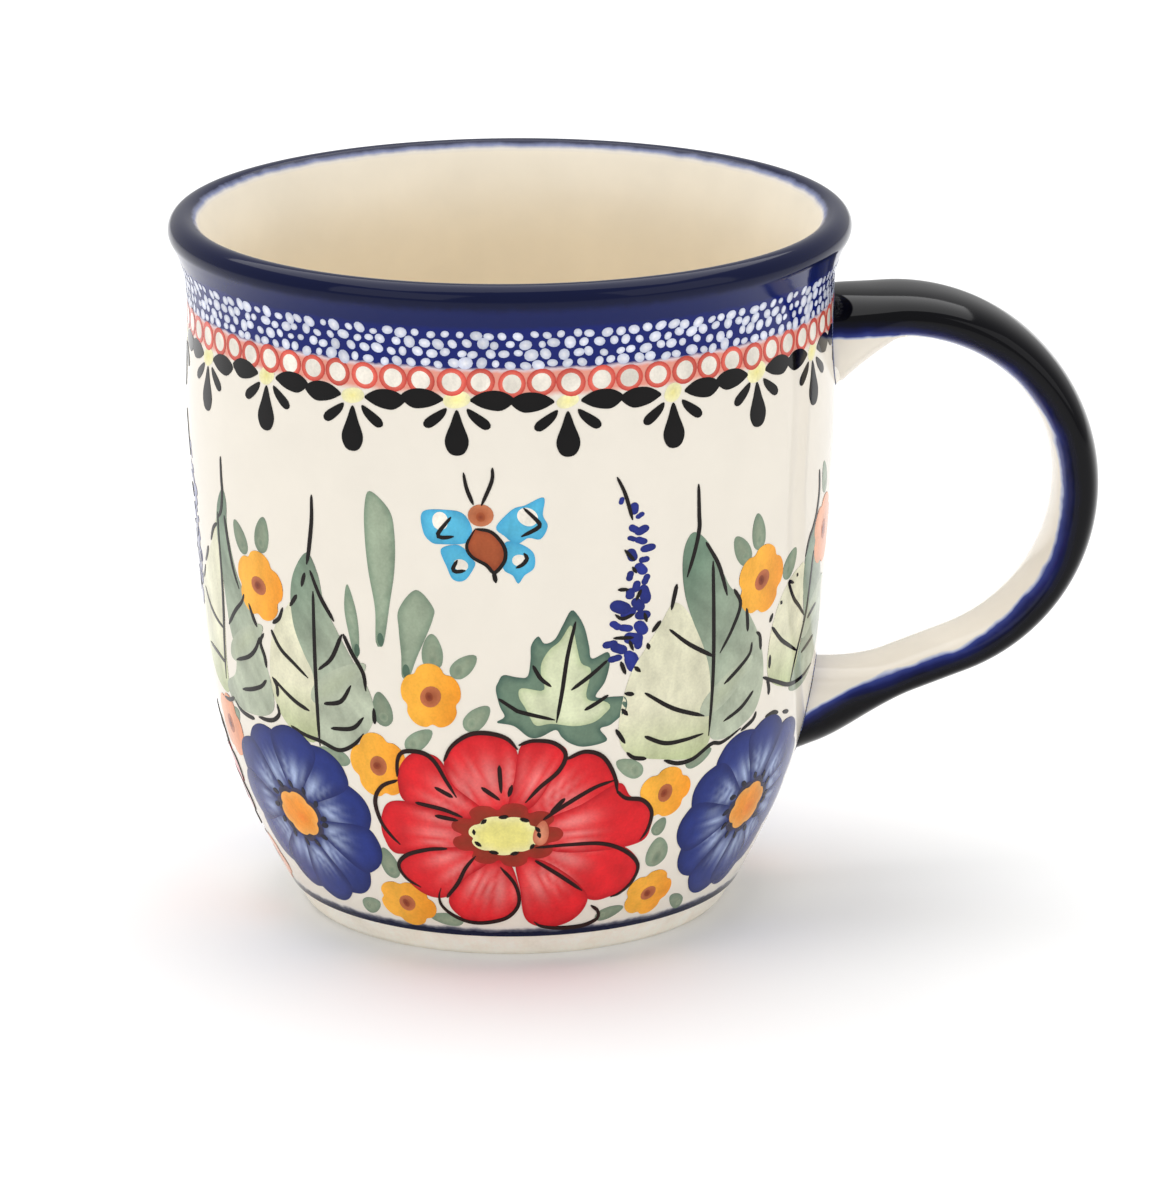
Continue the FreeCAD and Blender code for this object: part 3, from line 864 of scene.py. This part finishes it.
# outline, centre and radius of the bare spot in the wing, hooked line beside it
WINGS = [
    ([(-11.2, 64.2), (-8, 64.6), (-6, 64.1), (-5, 62), (-5.8, 60.3), (-9, 60), (-10.2, 60.2), (-11.2, 61.5)],
     (-9, 63.1), 1.1, [(-7.6, 63.7), (-9.3, 61.4), (-8.8, 60.9), (-7.3, 61.1)]),
    ([(-9, 59.3), (-7, 60), (-5.8, 59.3), (-4.9, 58), (-4.7, 57.3), (-6, 55.3), (-7.5, 55.3), (-8.3, 57)],
     (-6.5, 57.3), .9, [(-6.9, 58), (-7.5, 56.8), (-7.1, 56.4), (-5.9, 56.6)]),
    ([(-2, 62.5), (0, 64.8), (1.5, 65.3), (3.9, 66.3), (3.8, 64), (4.4, 62.5), (3.5, 60.8), (2, 61),
      (.5, 60.2), (-1, 61.3)],
     (1.9, 63.8), 1.2, [(1.4, 65), (2.6, 63.8), (3.4, 62.8), (3, 62.2), (1.1, 61.2)]),
    ([(-1, 60.3), (.8, 60.3), (2.6, 59), (2.7, 57), (1.5, 56), (.7, 54.9), (0, 56), (-1.2, 57)],
     (.9, 58), .9, [(1.4, 59), (1.8, 58.3), (1.3, 57.5), (.4, 57)]),
]
BUTTERFLY_BODY = [
    (-4.6, 62.2), (-2.6, 61.8), (-1.1, 60), (-.9, 58.3), (-1.6, 57), (-2.4, 56.4), (-3.3, 57.4),
    (-5.1, 58.5), (-5.7, 60),
]
BUTTERFLY_HEAD = (-3.9, 64)
BUTTERFLY_FACE = (-3.9, 63.8)
BUTTERFLY_TAIL = [(-2.4, 56.6), (-2.1, 55)]
ANTENNAE = [[(-6, 69.6), (-5.6, 67.5), (-4.8, 65.4)], [(-2.4, 70.3), (-2.5, 68.5), (-3.8, 65.3)]]
HYACINTH_DABS = [
    (13.8, 65.2), (15.5, 64), (16.3, 63), (15.5, 61.3), (16.6, 61), (15.3, 60), (16.5, 59.6), (17.5, 58.5),
    (15.3, 57.8), (17, 57), (16.6, 55.8), (15.1, 55), (17.3, 54.3), (16, 53.5), (15.2, 52.6), (17.2, 52.3),
    (16.3, 51), (13.9, 50.9), (15, 50), (17, 49.5), (13.3, 48.5), (14.7, 48), (16.8, 47.8), (15.6, 46.5),
    (12.6, 46), (13.8, 45.3), (16.5, 46), (15.3, 44), (13.3, 44), (15.7, 43.3),
]
HYACINTH_DASHES = [
    [(13.2, 68.4), (14.3, 66), (15.3, 62.5)], [(14.3, 58.6), (15.7, 57)], [(15.4, 56.2), (16, 55.3)],
    [(13.5, 53.3), (15, 53.2)], [(16, 51.6), (16.7, 53)], [(13.2, 50), (14.2, 49.3), (15.8, 49.8)],
    [(17.2, 49.8), (17.6, 48.5)], [(13, 46.8), (15.8, 46.6)], [(15.2, 46.3), (15.8, 44.8)],
]
SECOND_HYACINTH_U = -74.5           # the second spike stands this much further left
SIDE_FLOWER_U = -65.0               # a small red flower fills the gap at the left side
SIDE_FLOWER_SCALE = 0.55


def make_butterfly(material, tag, at):
    layer = Layer(f"butterfly_{tag}")
    for outline, spot, radius, hook in WINGS:
        blob(layer, outline, wash(TURQUOISE, TURQUOISE_RIM, .5, .05), 1, at, .8)
        disc(layer, spot, (radius, radius), wash(CREAM, CREAM), 2, .1, at=at)
        stroke(layer, hook, .55, 5, at)
    blob(layer, BUTTERFLY_BODY, wash(RUST, RUST_RIM, .5), 3, at, .7)
    disc(layer, BUTTERFLY_HEAD, (1.5, 1.5), wash(RUST, PALE_RUST, .5), 3, .05, at=at)
    disc(layer, BUTTERFLY_FACE, (.6, .6), wash(DARK_RUST, RUST, .3), 4, .05, at=at)
    stroke(layer, BUTTERFLY_BODY + BUTTERFLY_BODY[:1], .5, 5, at)
    stroke(layer, BUTTERFLY_TAIL, .6, 6, at)
    for points in ANTENNAE:
        stroke(layer, points, .5, 5, at)
    layer.finish(material)


def make_hyacinth(material, tag, at, petals):
    layer = Layer(f"hyacinth_{tag}")
    for u, z in HYACINTH_DABS:
        size = rng.uniform(.78, 1.1) * np.interp(z, (52, 66), (1, .6))
        colours = wash(petals, HYACINTH_RIM, .35, .2)
        radii = (size, size * rng.uniform(.7, 1.1))
        disc(layer, (u, z), radii, colours, rng.randrange(3), .25, at=at)
    for points in HYACINTH_DASHES:
        stroke(layer, points, .5, 6, at)
    layer.finish(material)


# ---- flowers -----------------------------------------------------------------------------

# (u, z) centre, half width, half height, degrees of turn
ORANGE_FLOWERS = [
    (-10.9, 39.2, 3.9, 4.3, 92), (-19, 28.7, 4.1, 4.4, 100), (-18.6, 7.8, 4.9, 3.4, 60),
    (22, 24, 4, 3.5, 80), (23.2, 8.4, 4.3, 3.4, 75), (-37.6, 50.2, 4.6, 4.5, 82), (36.6, 50.7, 4.5, 4.5, 80),
]
PEACH_FLOWERS = [(-51.2, 27.6, 4.2, 4.2, 70), (-55, 7.6, 5, 3.3, 60), (55.5, 52.8, 4.6, 4.6, 80)]
RED_CENTRE = (-1.2, 19.7)
RED_PETALS = [
    [(-9.5, 30), (-8.5, 32.5), (-6, 34.2), (-3, 34.4), (-.5, 33.5), (.5, 31.5), (1, 28), (0, 24.5),
     (-3, 23), (-7, 23.8), (-9, 27)],
    [(.8, 32.5), (2.5, 33.3), (5, 33.2), (7, 32), (6.8, 30), (5, 27.5), (2.5, 24), (-1, 22.5), (0, 28)],
    [(6.8, 30.6), (9.5, 31.3), (11.8, 30.6), (13.5, 28.5), (14.5, 25.5), (10, 22.5), (3, 20.5), (1, 23),
     (3.6, 26.6)],
    [(14.5, 26.5), (16.5, 24.4), (19, 23), (20.3, 21.5), (20.5, 19.5), (19.3, 17.2), (13, 16.6), (5, 17.4),
     (4, 21.5), (9.5, 24)],
    [(7, 18.3), (12, 18.2), (16.5, 16.8), (19.3, 14.5), (19.8, 12.5), (18.5, 10.3), (16, 9), (12.5, 8.8),
     (8, 11.6), (3, 14.6), (2, 17)],
    [(.2, 16), (4, 15.8), (8, 13.4), (10.8, 10.9), (12, 9), (11.2, 6.8), (9, 5.3), (6, 4.8), (3, 5.3),
     (1.4, 7), (.8, 11)],
    [(-4.5, 16), (-1, 15.6), (.5, 12), (.8, 9), (-.5, 7), (-3, 5.8), (-6.5, 5.4), (-9.5, 6.5), (-11, 8.5),
     (-10, 11), (-7.5, 13.5)],
    [(-5.5, 17.6), (-10, 17.6), (-14, 17), (-17, 15.8), (-18.2, 14), (-17.5, 11.8), (-15.5, 10),
     (-13, 9.3), (-10.5, 10), (-7.5, 13), (-4, 15.6)],
    [(-6, 21.4), (-12, 23.4), (-16, 24), (-18.5, 23.2), (-19.8, 20.5), (-19.8, 18), (-18.3, 15.8),
     (-13, 16.8), (-7, 17.2)],
    [(-6, 22), (-11, 23), (-15.5, 24), (-16.3, 26.5), (-15.8, 29), (-14, 31), (-11.5, 31.2), (-9.8, 30.2),
     (-8.4, 27), (-4.5, 23.6)],
]
RED_LINES = [
    [(-9.5, 30.3), (-8.3, 32.5), (-6, 34.2), (-3.5, 34.5), (-1, 33.8), (.5, 32.2)],
    [(.6, 32.8), (2.5, 33.4), (5.3, 33), (6.9, 31.3), (6, 29), (3.5, 26.8), (1.5, 24.6)],
    [(7, 30.6), (9.5, 31.5), (12, 30.6), (13.8, 27.8), (14.5, 25)],
    [(4, 22), (7, 24), (11, 26.2), (13.8, 27)],
    [(14.3, 25.5), (15.8, 24.2), (18.5, 23.5), (20.2, 21.5), (20, 19), (19, 17.4)],
    [(3, 17.8), (8, 18), (13, 17.7), (17, 16), (19.6, 13.5), (19.3, 11), (17.5, 9.3), (16, 8.9)],
    [(3, 15.8), (6.5, 13.5), (10.8, 10.5)],
    [(12.8, 7.8), (14.2, 6.8), (14.4, 5.5), (12, 4.6), (8, 4.5), (4.5, 5), (3.2, 5.8)],
    [(-2.2, 14.8), (0, 12), (.6, 9), (-1, 6.8), (-4, 5.8), (-7.5, 5.6), (-10.5, 6.5), (-12.3, 8),
     (-12.5, 9.5), (-11.9, 11)],
    [(-11.2, 9.5), (-9, 12), (-7.5, 14.5), (-5.8, 16.5)],
    [(-10, 17.4), (-13, 17), (-16.5, 15.8), (-18.3, 14), (-17.5, 12), (-15.3, 10.8)],
    [(-16.3, 27), (-18.8, 25.8), (-20.2, 23.5), (-19.8, 20.5), (-18.5, 18.5), (-17.3, 17.3)],
    [(-16.3, 27.5), (-16, 30), (-15, 31.2), (-12.5, 31.3), (-10.8, 30.2), (-9.3, 27.5), (-8, 25.2)],
    [(-14, 24), (-10, 23.3), (-7.3, 22.3)], [(-11, 26.5), (-8.5, 25.2)], [(-11.3, 22.3), (-8, 21.8)],
    [(-2, 30), (-1.8, 26)], [(-4.5, 26.8), (-2, 25)], [(-.3, 27.2), (-.8, 25.5)], [(5, 23), (7, 25)],
]
# half width, half height, degrees of turn, lobes, depth between the lobes
RED_RING_SHAPE = (8.2, 4.9, 0, 9, .22)
RED_HEART_SHAPE = (5.2, 3, 10, 7, .12)
BLUE_RING_SHAPE = (5.1, 4.1, 20, 7, .16)
BLUE_HEART_SHAPE = (4.2, 3.3, 15, 6, .12)
BLUE_FLOWERS = [("left", (-35.75, 18.6)), ("right", (40.3, 18.2))]
BLUE_PETALS = 11
RED_STAMENS = range(10, 360, 38)    # degrees at which the hearts have dark dashes
BLUE_STAMENS = range(0, 377, 29)
BLUE_REACH = (15.2, 12.9)           # half width and half height of the whole flower
# shares of that reach, out from the centre and to the side
BLUE_PETAL = [(.2, 0), (.5, .19), (.8, .29), (.95, .17), (1, 0), (.95, -.17), (.8, -.29), (.5, -.19)]


def lobed(u, z, wide, tall, turn_deg, lobes=5, depth=0.16):
    """The outline of a small flower with rounded petals."""
    outline = []
    for t in np.arange(lobes * 6) * 2 * math.pi / (lobes * 6):
        reach = 1 - depth * (1 - abs(math.cos(lobes * t / 2)) ** 0.7)
        a = t + math.radians(turn_deg)
        outline.append((u + wide * reach * math.cos(a), z + tall * reach * math.sin(a)))
    return outline


def scaled(shape, scale):
    wide, tall, *rest = shape
    return wide * scale, tall * scale, *rest


def make_small_flowers(material, tag, at):
    layer = Layer(f"small_flowers_{tag}")
    kinds = ((ORANGE_FLOWERS, ORANGE, DEEP_ORANGE), (PEACH_FLOWERS, PEACH, DEEP_PEACH))
    for flowers, body, deep in kinds:
        for u, z, wide, tall, turn in flowers:
            shade = graded(body, deep, (u - .3 * wide, z), (u + 1.5 * wide, z - .3 * tall))
            blob(layer, lobed(u, z, 1.06 * wide, 1.06 * tall, turn), shade, 4, at, .8)
            disc(layer, (u, z), (1.4, 1.3), wash(BROWN, BROWN_RIM, .4), 6, .1, at=at)
            disc(layer, (u - .2, z), (.6, .6), wash(DARK_BROWN, BROWN, .3), 7, .1, at=at)
    layer.finish(material)


def make_red_flower(material, tag, at, scale=1.0):
    def placed(points):
        return [(u * scale, RED_CENTRE[1] + (z - RED_CENTRE[1]) * scale) for u, z in points]

    layer = Layer(f"red_flower_{tag}")
    for i, petal in enumerate(RED_PETALS):
        paint = streaked(RED_CENTRE, RED, PINK, DEEP_RED, 6.5 * scale, 13 * scale, .68, .6)
        blob(layer, placed(petal), paint, 5 + i % 2, at, .7)
    ring = lobed(RED_CENTRE[0] * scale, RED_CENTRE[1], *scaled(RED_RING_SHAPE, scale))
    blob(layer, ring, wash(RED_RING, RED_RING_RIM, .8), 8, at, .8)
    middle = lobed(RED_CENTRE[0] * scale - .3, RED_CENTRE[1], *scaled(RED_HEART_SHAPE, scale))
    blob(layer, middle, wash(RED_HEART, RED_HEART_RIM, .7), 9, at, .8)
    rim = oval((RED_CENTRE[0] + 5) * scale, RED_CENTRE[1] + .3, 1.9 * scale, 1.1 * scale, 80)
    blob(layer, rim, wash(RED_BLUSH, RED_BLUSH_RIM, .5), 10, at, .7)
    for degrees in RED_STAMENS:
        a = math.radians(degrees)
        start = (RED_CENTRE[0] + 4.9 * math.cos(a), RED_CENTRE[1] + 2.9 * math.sin(a))
        end = (RED_CENTRE[0] + 4.6 * math.cos(a + .3), RED_CENTRE[1] + 2.8 * math.sin(a + .3))
        stroke(layer, placed([start, end]), .6, 12, at)
    for points in RED_LINES:
        stroke(layer, placed(points), .6, 12, at, WARM_INK)
    layer.finish(material)


def make_blue_flower(material, tag, centre, at):
    layer = Layer(f"blue_flower_{tag}")
    wide, tall = BLUE_REACH
    for i in range(BLUE_PETALS):
        a = 2 * math.pi * (i + rng.uniform(-.1, .1)) / BLUE_PETALS + .3
        reach = rng.uniform(.95, 1.02)
        outline = []
        for out, side in BLUE_PETAL:
            x = reach * (out * math.cos(a) - side * math.sin(a))
            y = reach * (out * math.sin(a) + side * math.cos(a))
            outline.append((centre[0] + wide * x, centre[1] + tall * y))
        paint = streaked(centre, FLOWER_BLUE, PALE_BLUE, NAVY, 4.4, 9.2, 1, 1)
        blob(layer, outline, paint, 5 + i % 3, at, .7)
    blob(layer, lobed(*centre, *BLUE_RING_SHAPE), wash(BLUE_RING, BLUE_RING_RIM, .6), 9, at, .8)
    heart = lobed(*centre, *BLUE_HEART_SHAPE)
    blob(layer, heart, wash(BLUE_HEART, BLUE_HEART_RIM, .8), 10, at, .8)
    blush = (centre[0] + .6, centre[1] - .4)
    disc(layer, blush, (1.7, 1.1), wash(BLUE_BLUSH, BLUE_HEART, .5), 11, at=at)
    for degrees in BLUE_STAMENS:
        a = math.radians(degrees)
        start = (centre[0] + 4.7 * math.cos(a), centre[1] + 3.8 * math.sin(a))
        end = (centre[0] + 6 * math.cos(a + .12), centre[1] + 4.9 * math.sin(a + .12))
        stroke(layer, [start, end], .8, 12, at, BLUE_INK)
    layer.finish(material)


def make_garden(material, tag, at):
    """Everything that is painted between the foot line and the border, on one side."""
    make_leaves(material, tag, at)
    make_butterfly(material, tag, at)
    make_hyacinth(material, tag, at, HYACINTH)
    make_small_flowers(material, tag, at)
    for side, centre in BLUE_FLOWERS:
        make_blue_flower(material, f"{side}_{tag}", centre, at)
    make_red_flower(material, tag, at)


def make_root_lines(material):
    """The blue that runs out round each end of the strap."""
    layer = Layer("handle_root_lines")
    for upper in (True, False):
        outline = root_outline(upper)
        middle = outline.mean(axis=0)
        growth = ROOT_LINE_WIDTH / np.linalg.norm(outline - middle, axis=1)
        grown = middle + (outline - middle) * (1 + growth)[:, None]
        blob(layer, grown[::3].tolist(), wash(ROOT_BLUE, ROOT_RIM, .35), 8)
    layer.finish(material)


# ---- materials ---------------------------------------------------------------------------

GLOSS = 0.17                        # specular level of every glazed surface
NOISE_LOW = 0.3                     # nearly all of a noise lies between these
NOISE_HIGH = 0.7
BAND_SPAN = 100.0                   # the height that the painted bands are laid out over
OUTER_BANDS = [                     # height above the foot, colour
    (0, COBALT), (4.25, COBALT), (4.45, (190, 192, 206)), (4.75, CREAM), (79.4, CREAM),
    (80, CORAL_WASH), (82.5, CORAL_WASH), (82.9, (222, 214, 222)), (83.2, SPOT_BLUE),
    (88.2, SPOT_BLUE), (88.6, BAND_BLUE), (90.5, BAND_BLUE), (91.5, COBALT),
]
# painted shade inside the cup: the cream darkens down towards the floor and is lightest near the lip; the
# blues at the top are the lip's cobalt running over
INNER_SHADE_AND_BANDS = [
    (0, (228, 213, 184)), (50, (236, 223, 198)), (80, INTERIOR), (92.9, (242, 235, 220)),
    (93.25, (164, 172, 204)), (93.5, (40, 50, 104)), (93.72, COBALT),
]
LEVEL_SPAN = 4                      # the handle's colours are laid out this far either side of
HANDLE_BANDS = [                    # its paint edge: mm towards the outside, colour
    (-4, CREAM), (-.36, CREAM), (-.2, (176, 186, 216)), (0, (52, 64, 136)), (.56, (22, 29, 86)),
    (1.28, (10, 12, 34)), (2.08, (5, 5, 9)),
]


class Shader:
    """A node material with one Principled shader, and shorthands for the nodes it needs."""

    def __init__(self, name, roughness):
        self.material = bpy.data.materials.new(name)
        self.material.use_nodes = True
        self.nodes = self.material.node_tree.nodes
        self.links = self.material.node_tree.links
        self.shader = self.nodes["Principled BSDF"]
        self.shader.inputs["Roughness"].default_value = roughness
        self.shader.inputs["Specular IOR Level"].default_value = GLOSS
        self.place = self.nodes.new("ShaderNodeTexCoord").outputs["Object"]

    def noise(self, size_mm, detail=3.0, stretch=(1, 1, 1)):
        """A noise from 0 to 1 whose blotches are about size_mm across."""
        mapping = self.nodes.new("ShaderNodeMapping")
        mapping.inputs["Scale"].default_value = stretch
        self.links.new(self.place, mapping.inputs["Vector"])
        node = self.nodes.new("ShaderNodeTexNoise")
        node.inputs["Scale"].default_value = 1 / (size_mm * MM)
        node.inputs["Detail"].default_value = detail
        self.links.new(mapping.outputs["Vector"], node.inputs["Vector"])
        return node.outputs["Fac"]

    def uneven(self, size_mm, detail, low, high, stretch=(1, 1, 1)):
        """A value that wanders between low and high."""
        return self.remap(self.noise(size_mm, detail, stretch), NOISE_LOW, NOISE_HIGH, low, high)

    def math(self, operation, a, b):
        """Either of a and b may be a number or a socket."""
        node = self.nodes.new("ShaderNodeMath")
        node.operation = operation
        for socket, value in zip(node.inputs, (a, b)):
            if isinstance(value, (int, float)):
                socket.default_value = value
            else:
                self.links.new(value, socket)
        return node.outputs[0]

    def ramp(self, source, stops):
        node = self.nodes.new("ShaderNodeValToRGB")
        elements = node.color_ramp.elements
        while len(elements) < len(stops):
            elements.new(1.0)
        for element, (position, colour) in zip(elements, stops):
            element.position = position
            element.color = rgba(colour)
        self.links.new(source, node.inputs["Fac"])
        return node.outputs["Color"]

    def remap(self, source, low, high, new_low, new_high):
        node = self.nodes.new("ShaderNodeMapRange")
        for name, value in zip(("From Min", "From Max", "To Min", "To Max"), (low, high, new_low, new_high)):
            node.inputs[name].default_value = value
        self.links.new(source, node.inputs["Value"])
        return node.outputs["Result"]

    def banded(self, bands, ragged_mm, size_mm):
        """Colours by height above the foot, with edges that wander by ragged_mm."""
        split = self.nodes.new("ShaderNodeSeparateXYZ")
        self.links.new(self.place, split.inputs[0])
        ragged = self.uneven(size_mm, 4, -ragged_mm * MM, ragged_mm * MM)
        height = self.math("DIVIDE", self.math("ADD", split.outputs["Z"], ragged), BAND_SPAN * MM)
        return self.ramp(height, [(z / BAND_SPAN, colour) for z, colour in bands])

    def multiply(self, colour, share):
        node = self.nodes.new("ShaderNodeVectorMath")
        node.operation = "SCALE"
        self.links.new(colour, node.inputs[0])
        self.links.new(share, node.inputs["Scale"])
        return node.outputs["Vector"]

    def finish(self, colour, bump_noise, bump_mm, rough_mm, rough_detail, rough):
        """Links the colour, a faint unevenness of the surface, and a roughness that wanders."""
        self.links.new(colour, self.shader.inputs["Base Color"])
        bump = self.nodes.new("ShaderNodeBump")
        bump.inputs["Strength"].default_value = 1.0
        bump.inputs["Distance"].default_value = bump_mm * MM
        self.links.new(bump_noise, bump.inputs["Height"])
        self.links.new(bump.outputs["Normal"], self.shader.inputs["Normal"])
        self.links.new(self.uneven(rough_mm, rough_detail, *rough), self.shader.inputs["Roughness"])
        return self.material


def outer_glaze_material():
    """Cream glaze with its painted bands, laid out by height above the foot."""
    s = Shader("painted outer glaze", .08)
    colour = s.multiply(s.banded(OUTER_BANDS, .16, 1.6), s.uneven(7, 4, .978, 1.01))
    return s.finish(colour, s.noise(12, 2), .035, 14, 2, (.06, .11))


def inner_glaze_material():
    s = Shader("clear inner glaze with painted shade", .08)
    # the colour by height carries painted shade, darker down towards the floor
    colour = s.multiply(s.banded(INNER_SHADE_AND_BANDS, .08, 2.2), s.uneven(8, 4, .97, 1.03))
    return s.finish(colour, s.noise(10, 2), .06, 14, 2, (.14, .22))


def handle_glaze_material():
    """Ivory on the finger side, then a blue bleed, cobalt, and near-black over the outside."""
    s = Shader("brushed handle glaze", .08)
    level = s.nodes.new("ShaderNodeAttribute")
    level.attribute_name = "level"
    shifted = s.math("ADD", level.outputs["Fac"], s.uneven(8, 3, -.35, .35))
    spread = s.remap(shifted, -LEVEL_SPAN, LEVEL_SPAN, 0, 1)
    stops = [(.5 + mm / (2 * LEVEL_SPAN), colour) for mm, colour in HANDLE_BANDS]
    colour = s.multiply(s.ramp(spread, stops), s.uneven(6, 3, .97, 1.03))
    return s.finish(colour, s.noise(11, 2), .05, 10, 2, (.05, .11))


def paint_material():
    """Brushed colour under the glaze: the mark's own colour, uneven as a watery brush leaves it."""
    s = Shader("underglaze brushwork", .08)
    paint = s.nodes.new("ShaderNodeAttribute")
    paint.attribute_name = "paint"
    pool = s.uneven(2.6, 5, .84, 1.14, (1, 1, .6))
    grain = s.uneven(.35, 2, .94, 1.05)
    colour = s.multiply(paint.outputs["Color"], s.math("MULTIPLY", pool, grain))
    return s.finish(colour, s.noise(9, 2), .06, 14, 2, (.06, .11))


def bare_clay_material():
    s = Shader("bare fired clay", .7)
    strength = s.math("MULTIPLY", s.uneven(6, 4, .99, 1.08), s.uneven(.5, 2, .98, 1.04))
    tone = s.ramp(s.noise(3, 3), [(.3, (250, 242, 226)), (.7, BARE_CLAY)])
    return s.finish(s.multiply(tone, strength), s.noise(.6, 4), .05, 2, 3, (.6, .8))


def base_glaze_material():
    s = Shader("clear base glaze", .1)
    tone = s.ramp(s.noise(6, 4), [(.3, (224, 214, 194)), (.7, (234, 226, 210))])
    return s.finish(tone, s.noise(8, 2), .08, 8, 2, (.08, .16))


# ---- studio ------------------------------------------------------------------------------

CAMERA_D = 830.0
CAMERA_AIM_Z = 45.0
CAMERA_RISE_DEG = 16.179
CAMERA_PAN_DEG = 0.6947
CAMERA_TILT_DEG = 16.502
CAMERA_ROLL_DEG = -0.2513
CAMERA_TURN_DEG = -3.5              # the whole view is turned about the cup's axis by this
LENS_MM = 186.13
FLOOR_SIZE = 6.0
FLOOR_WHITE = 0.9
WORLD_LIGHT = 0.56
# name, place, the point it faces, width and height, power
SOFTBOXES = [
    ("overhead softbox", (-.05, .35, 1.3), (0, 0, 0), (1.9, 1.7), 22),
    ("left softbox", (-1.1, -1.1, .9), (0, 0, .05), (1.3, 1.2), 4.8),
    ("right softbox", (1.3, -.9, .8), (0, 0, .05), (1.3, 1.2), 4.4),
]


def make_camera():
    rise, pan, tilt, roll = (math.radians(a) for a in (
        CAMERA_RISE_DEG, CAMERA_PAN_DEG, CAMERA_TILT_DEG, CAMERA_ROLL_DEG))
    place = Vector((0, -CAMERA_D * math.cos(rise), CAMERA_AIM_Z + CAMERA_D * math.sin(rise))) * MM
    ahead = Vector((math.sin(pan) * math.cos(tilt), math.cos(pan) * math.cos(tilt), -math.sin(tilt)))
    level = Vector((math.cos(pan), -math.sin(pan), 0))
    upright = level.cross(ahead)
    right = math.cos(roll) * level + math.sin(roll) * upright
    up = -math.sin(roll) * level + math.cos(roll) * upright
    turn = Matrix.Rotation(math.radians(CAMERA_TURN_DEG), 4, "Z")
    pose = Matrix((right, up, -ahead)).transposed().to_4x4()
    data = bpy.data.cameras.new("camera")
    data.lens = LENS_MM
    data.sensor_width = 36
    camera = bpy.data.objects.new("camera", data)
    camera.matrix_world = turn @ Matrix.Translation(place) @ pose
    bpy.context.scene.collection.objects.link(camera)
    bpy.context.scene.camera = camera


def make_softbox(name, place, aim, size, power):
    data = bpy.data.lights.new(name, "AREA")
    data.shape = "RECTANGLE"
    data.size, data.size_y = size
    data.energy = power
    light = bpy.data.objects.new(name, data)
    light.location = place
    light.rotation_euler = (Vector(aim) - Vector(place)).to_track_quat("-Z", "Y").to_euler()
    bpy.context.scene.collection.objects.link(light)


def make_studio():
    half = FLOOR_SIZE / 2
    mesh = bpy.data.meshes.new("floor")
    corners = [(-half, -half, 0), (half, -half, 0), (half, half, 0), (-half, half, 0)]
    mesh.from_pydata(corners, [], [(0, 1, 2, 3)])
    s = Shader("matt white floor", .9)
    s.shader.inputs["Base Color"].default_value = (FLOOR_WHITE, FLOOR_WHITE, FLOOR_WHITE, 1)
    s.shader.inputs["Specular IOR Level"].default_value = 0.0
    mesh.materials.append(s.material)
    floor = bpy.data.objects.new("floor", mesh)
    bpy.context.scene.collection.objects.link(floor)

    for softbox in SOFTBOXES:
        make_softbox(*softbox)

    world = bpy.data.worlds.new("studio")
    world.use_nodes = True
    background = world.node_tree.nodes["Background"]
    background.inputs["Color"].default_value = (1, 1, 1, 1)
    background.inputs["Strength"].default_value = WORLD_LIGHT
    bpy.context.scene.world = world
    bpy.context.scene.view_settings.view_transform = "Standard"


# ---- the scene ---------------------------------------------------------------------------


def dress_cad(nodes):
    clay = bare_clay_material()
    materials = {
        "body": clay, "handle": clay, "upper_slip_joint": clay, "lower_slip_joint": clay,
        "base_glaze": base_glaze_material(),
    }
    for name, material in materials.items():
        mesh = nodes[name].data
        mesh.materials.clear()
        mesh.materials.append(material)


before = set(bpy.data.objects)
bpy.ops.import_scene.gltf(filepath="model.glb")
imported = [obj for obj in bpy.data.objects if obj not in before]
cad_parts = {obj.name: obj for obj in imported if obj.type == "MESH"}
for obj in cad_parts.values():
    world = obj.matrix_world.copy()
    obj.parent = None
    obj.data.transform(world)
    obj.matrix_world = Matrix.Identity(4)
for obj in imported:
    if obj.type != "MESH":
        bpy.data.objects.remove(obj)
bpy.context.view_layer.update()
dress_cad(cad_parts)
make_outer_coat(outer_glaze_material())
make_inner_coat(inner_glaze_material())
make_handle_coat(handle_glaze_material())
brushwork = paint_material()
make_spots(brushwork)
make_rings(brushwork)
make_petal_stamps(brushwork)
make_red_flower(brushwork, "far_left", (SIDE_FLOWER_U, 0), SIDE_FLOWER_SCALE)
make_hyacinth(brushwork, "far_left", (SECOND_HYACINTH_U, 0), LAVENDER)
make_garden(brushwork, "front", (0, 0))
make_garden(brushwork, "back", (BACK_U, 0))
make_root_lines(brushwork)
make_studio()
make_camera()
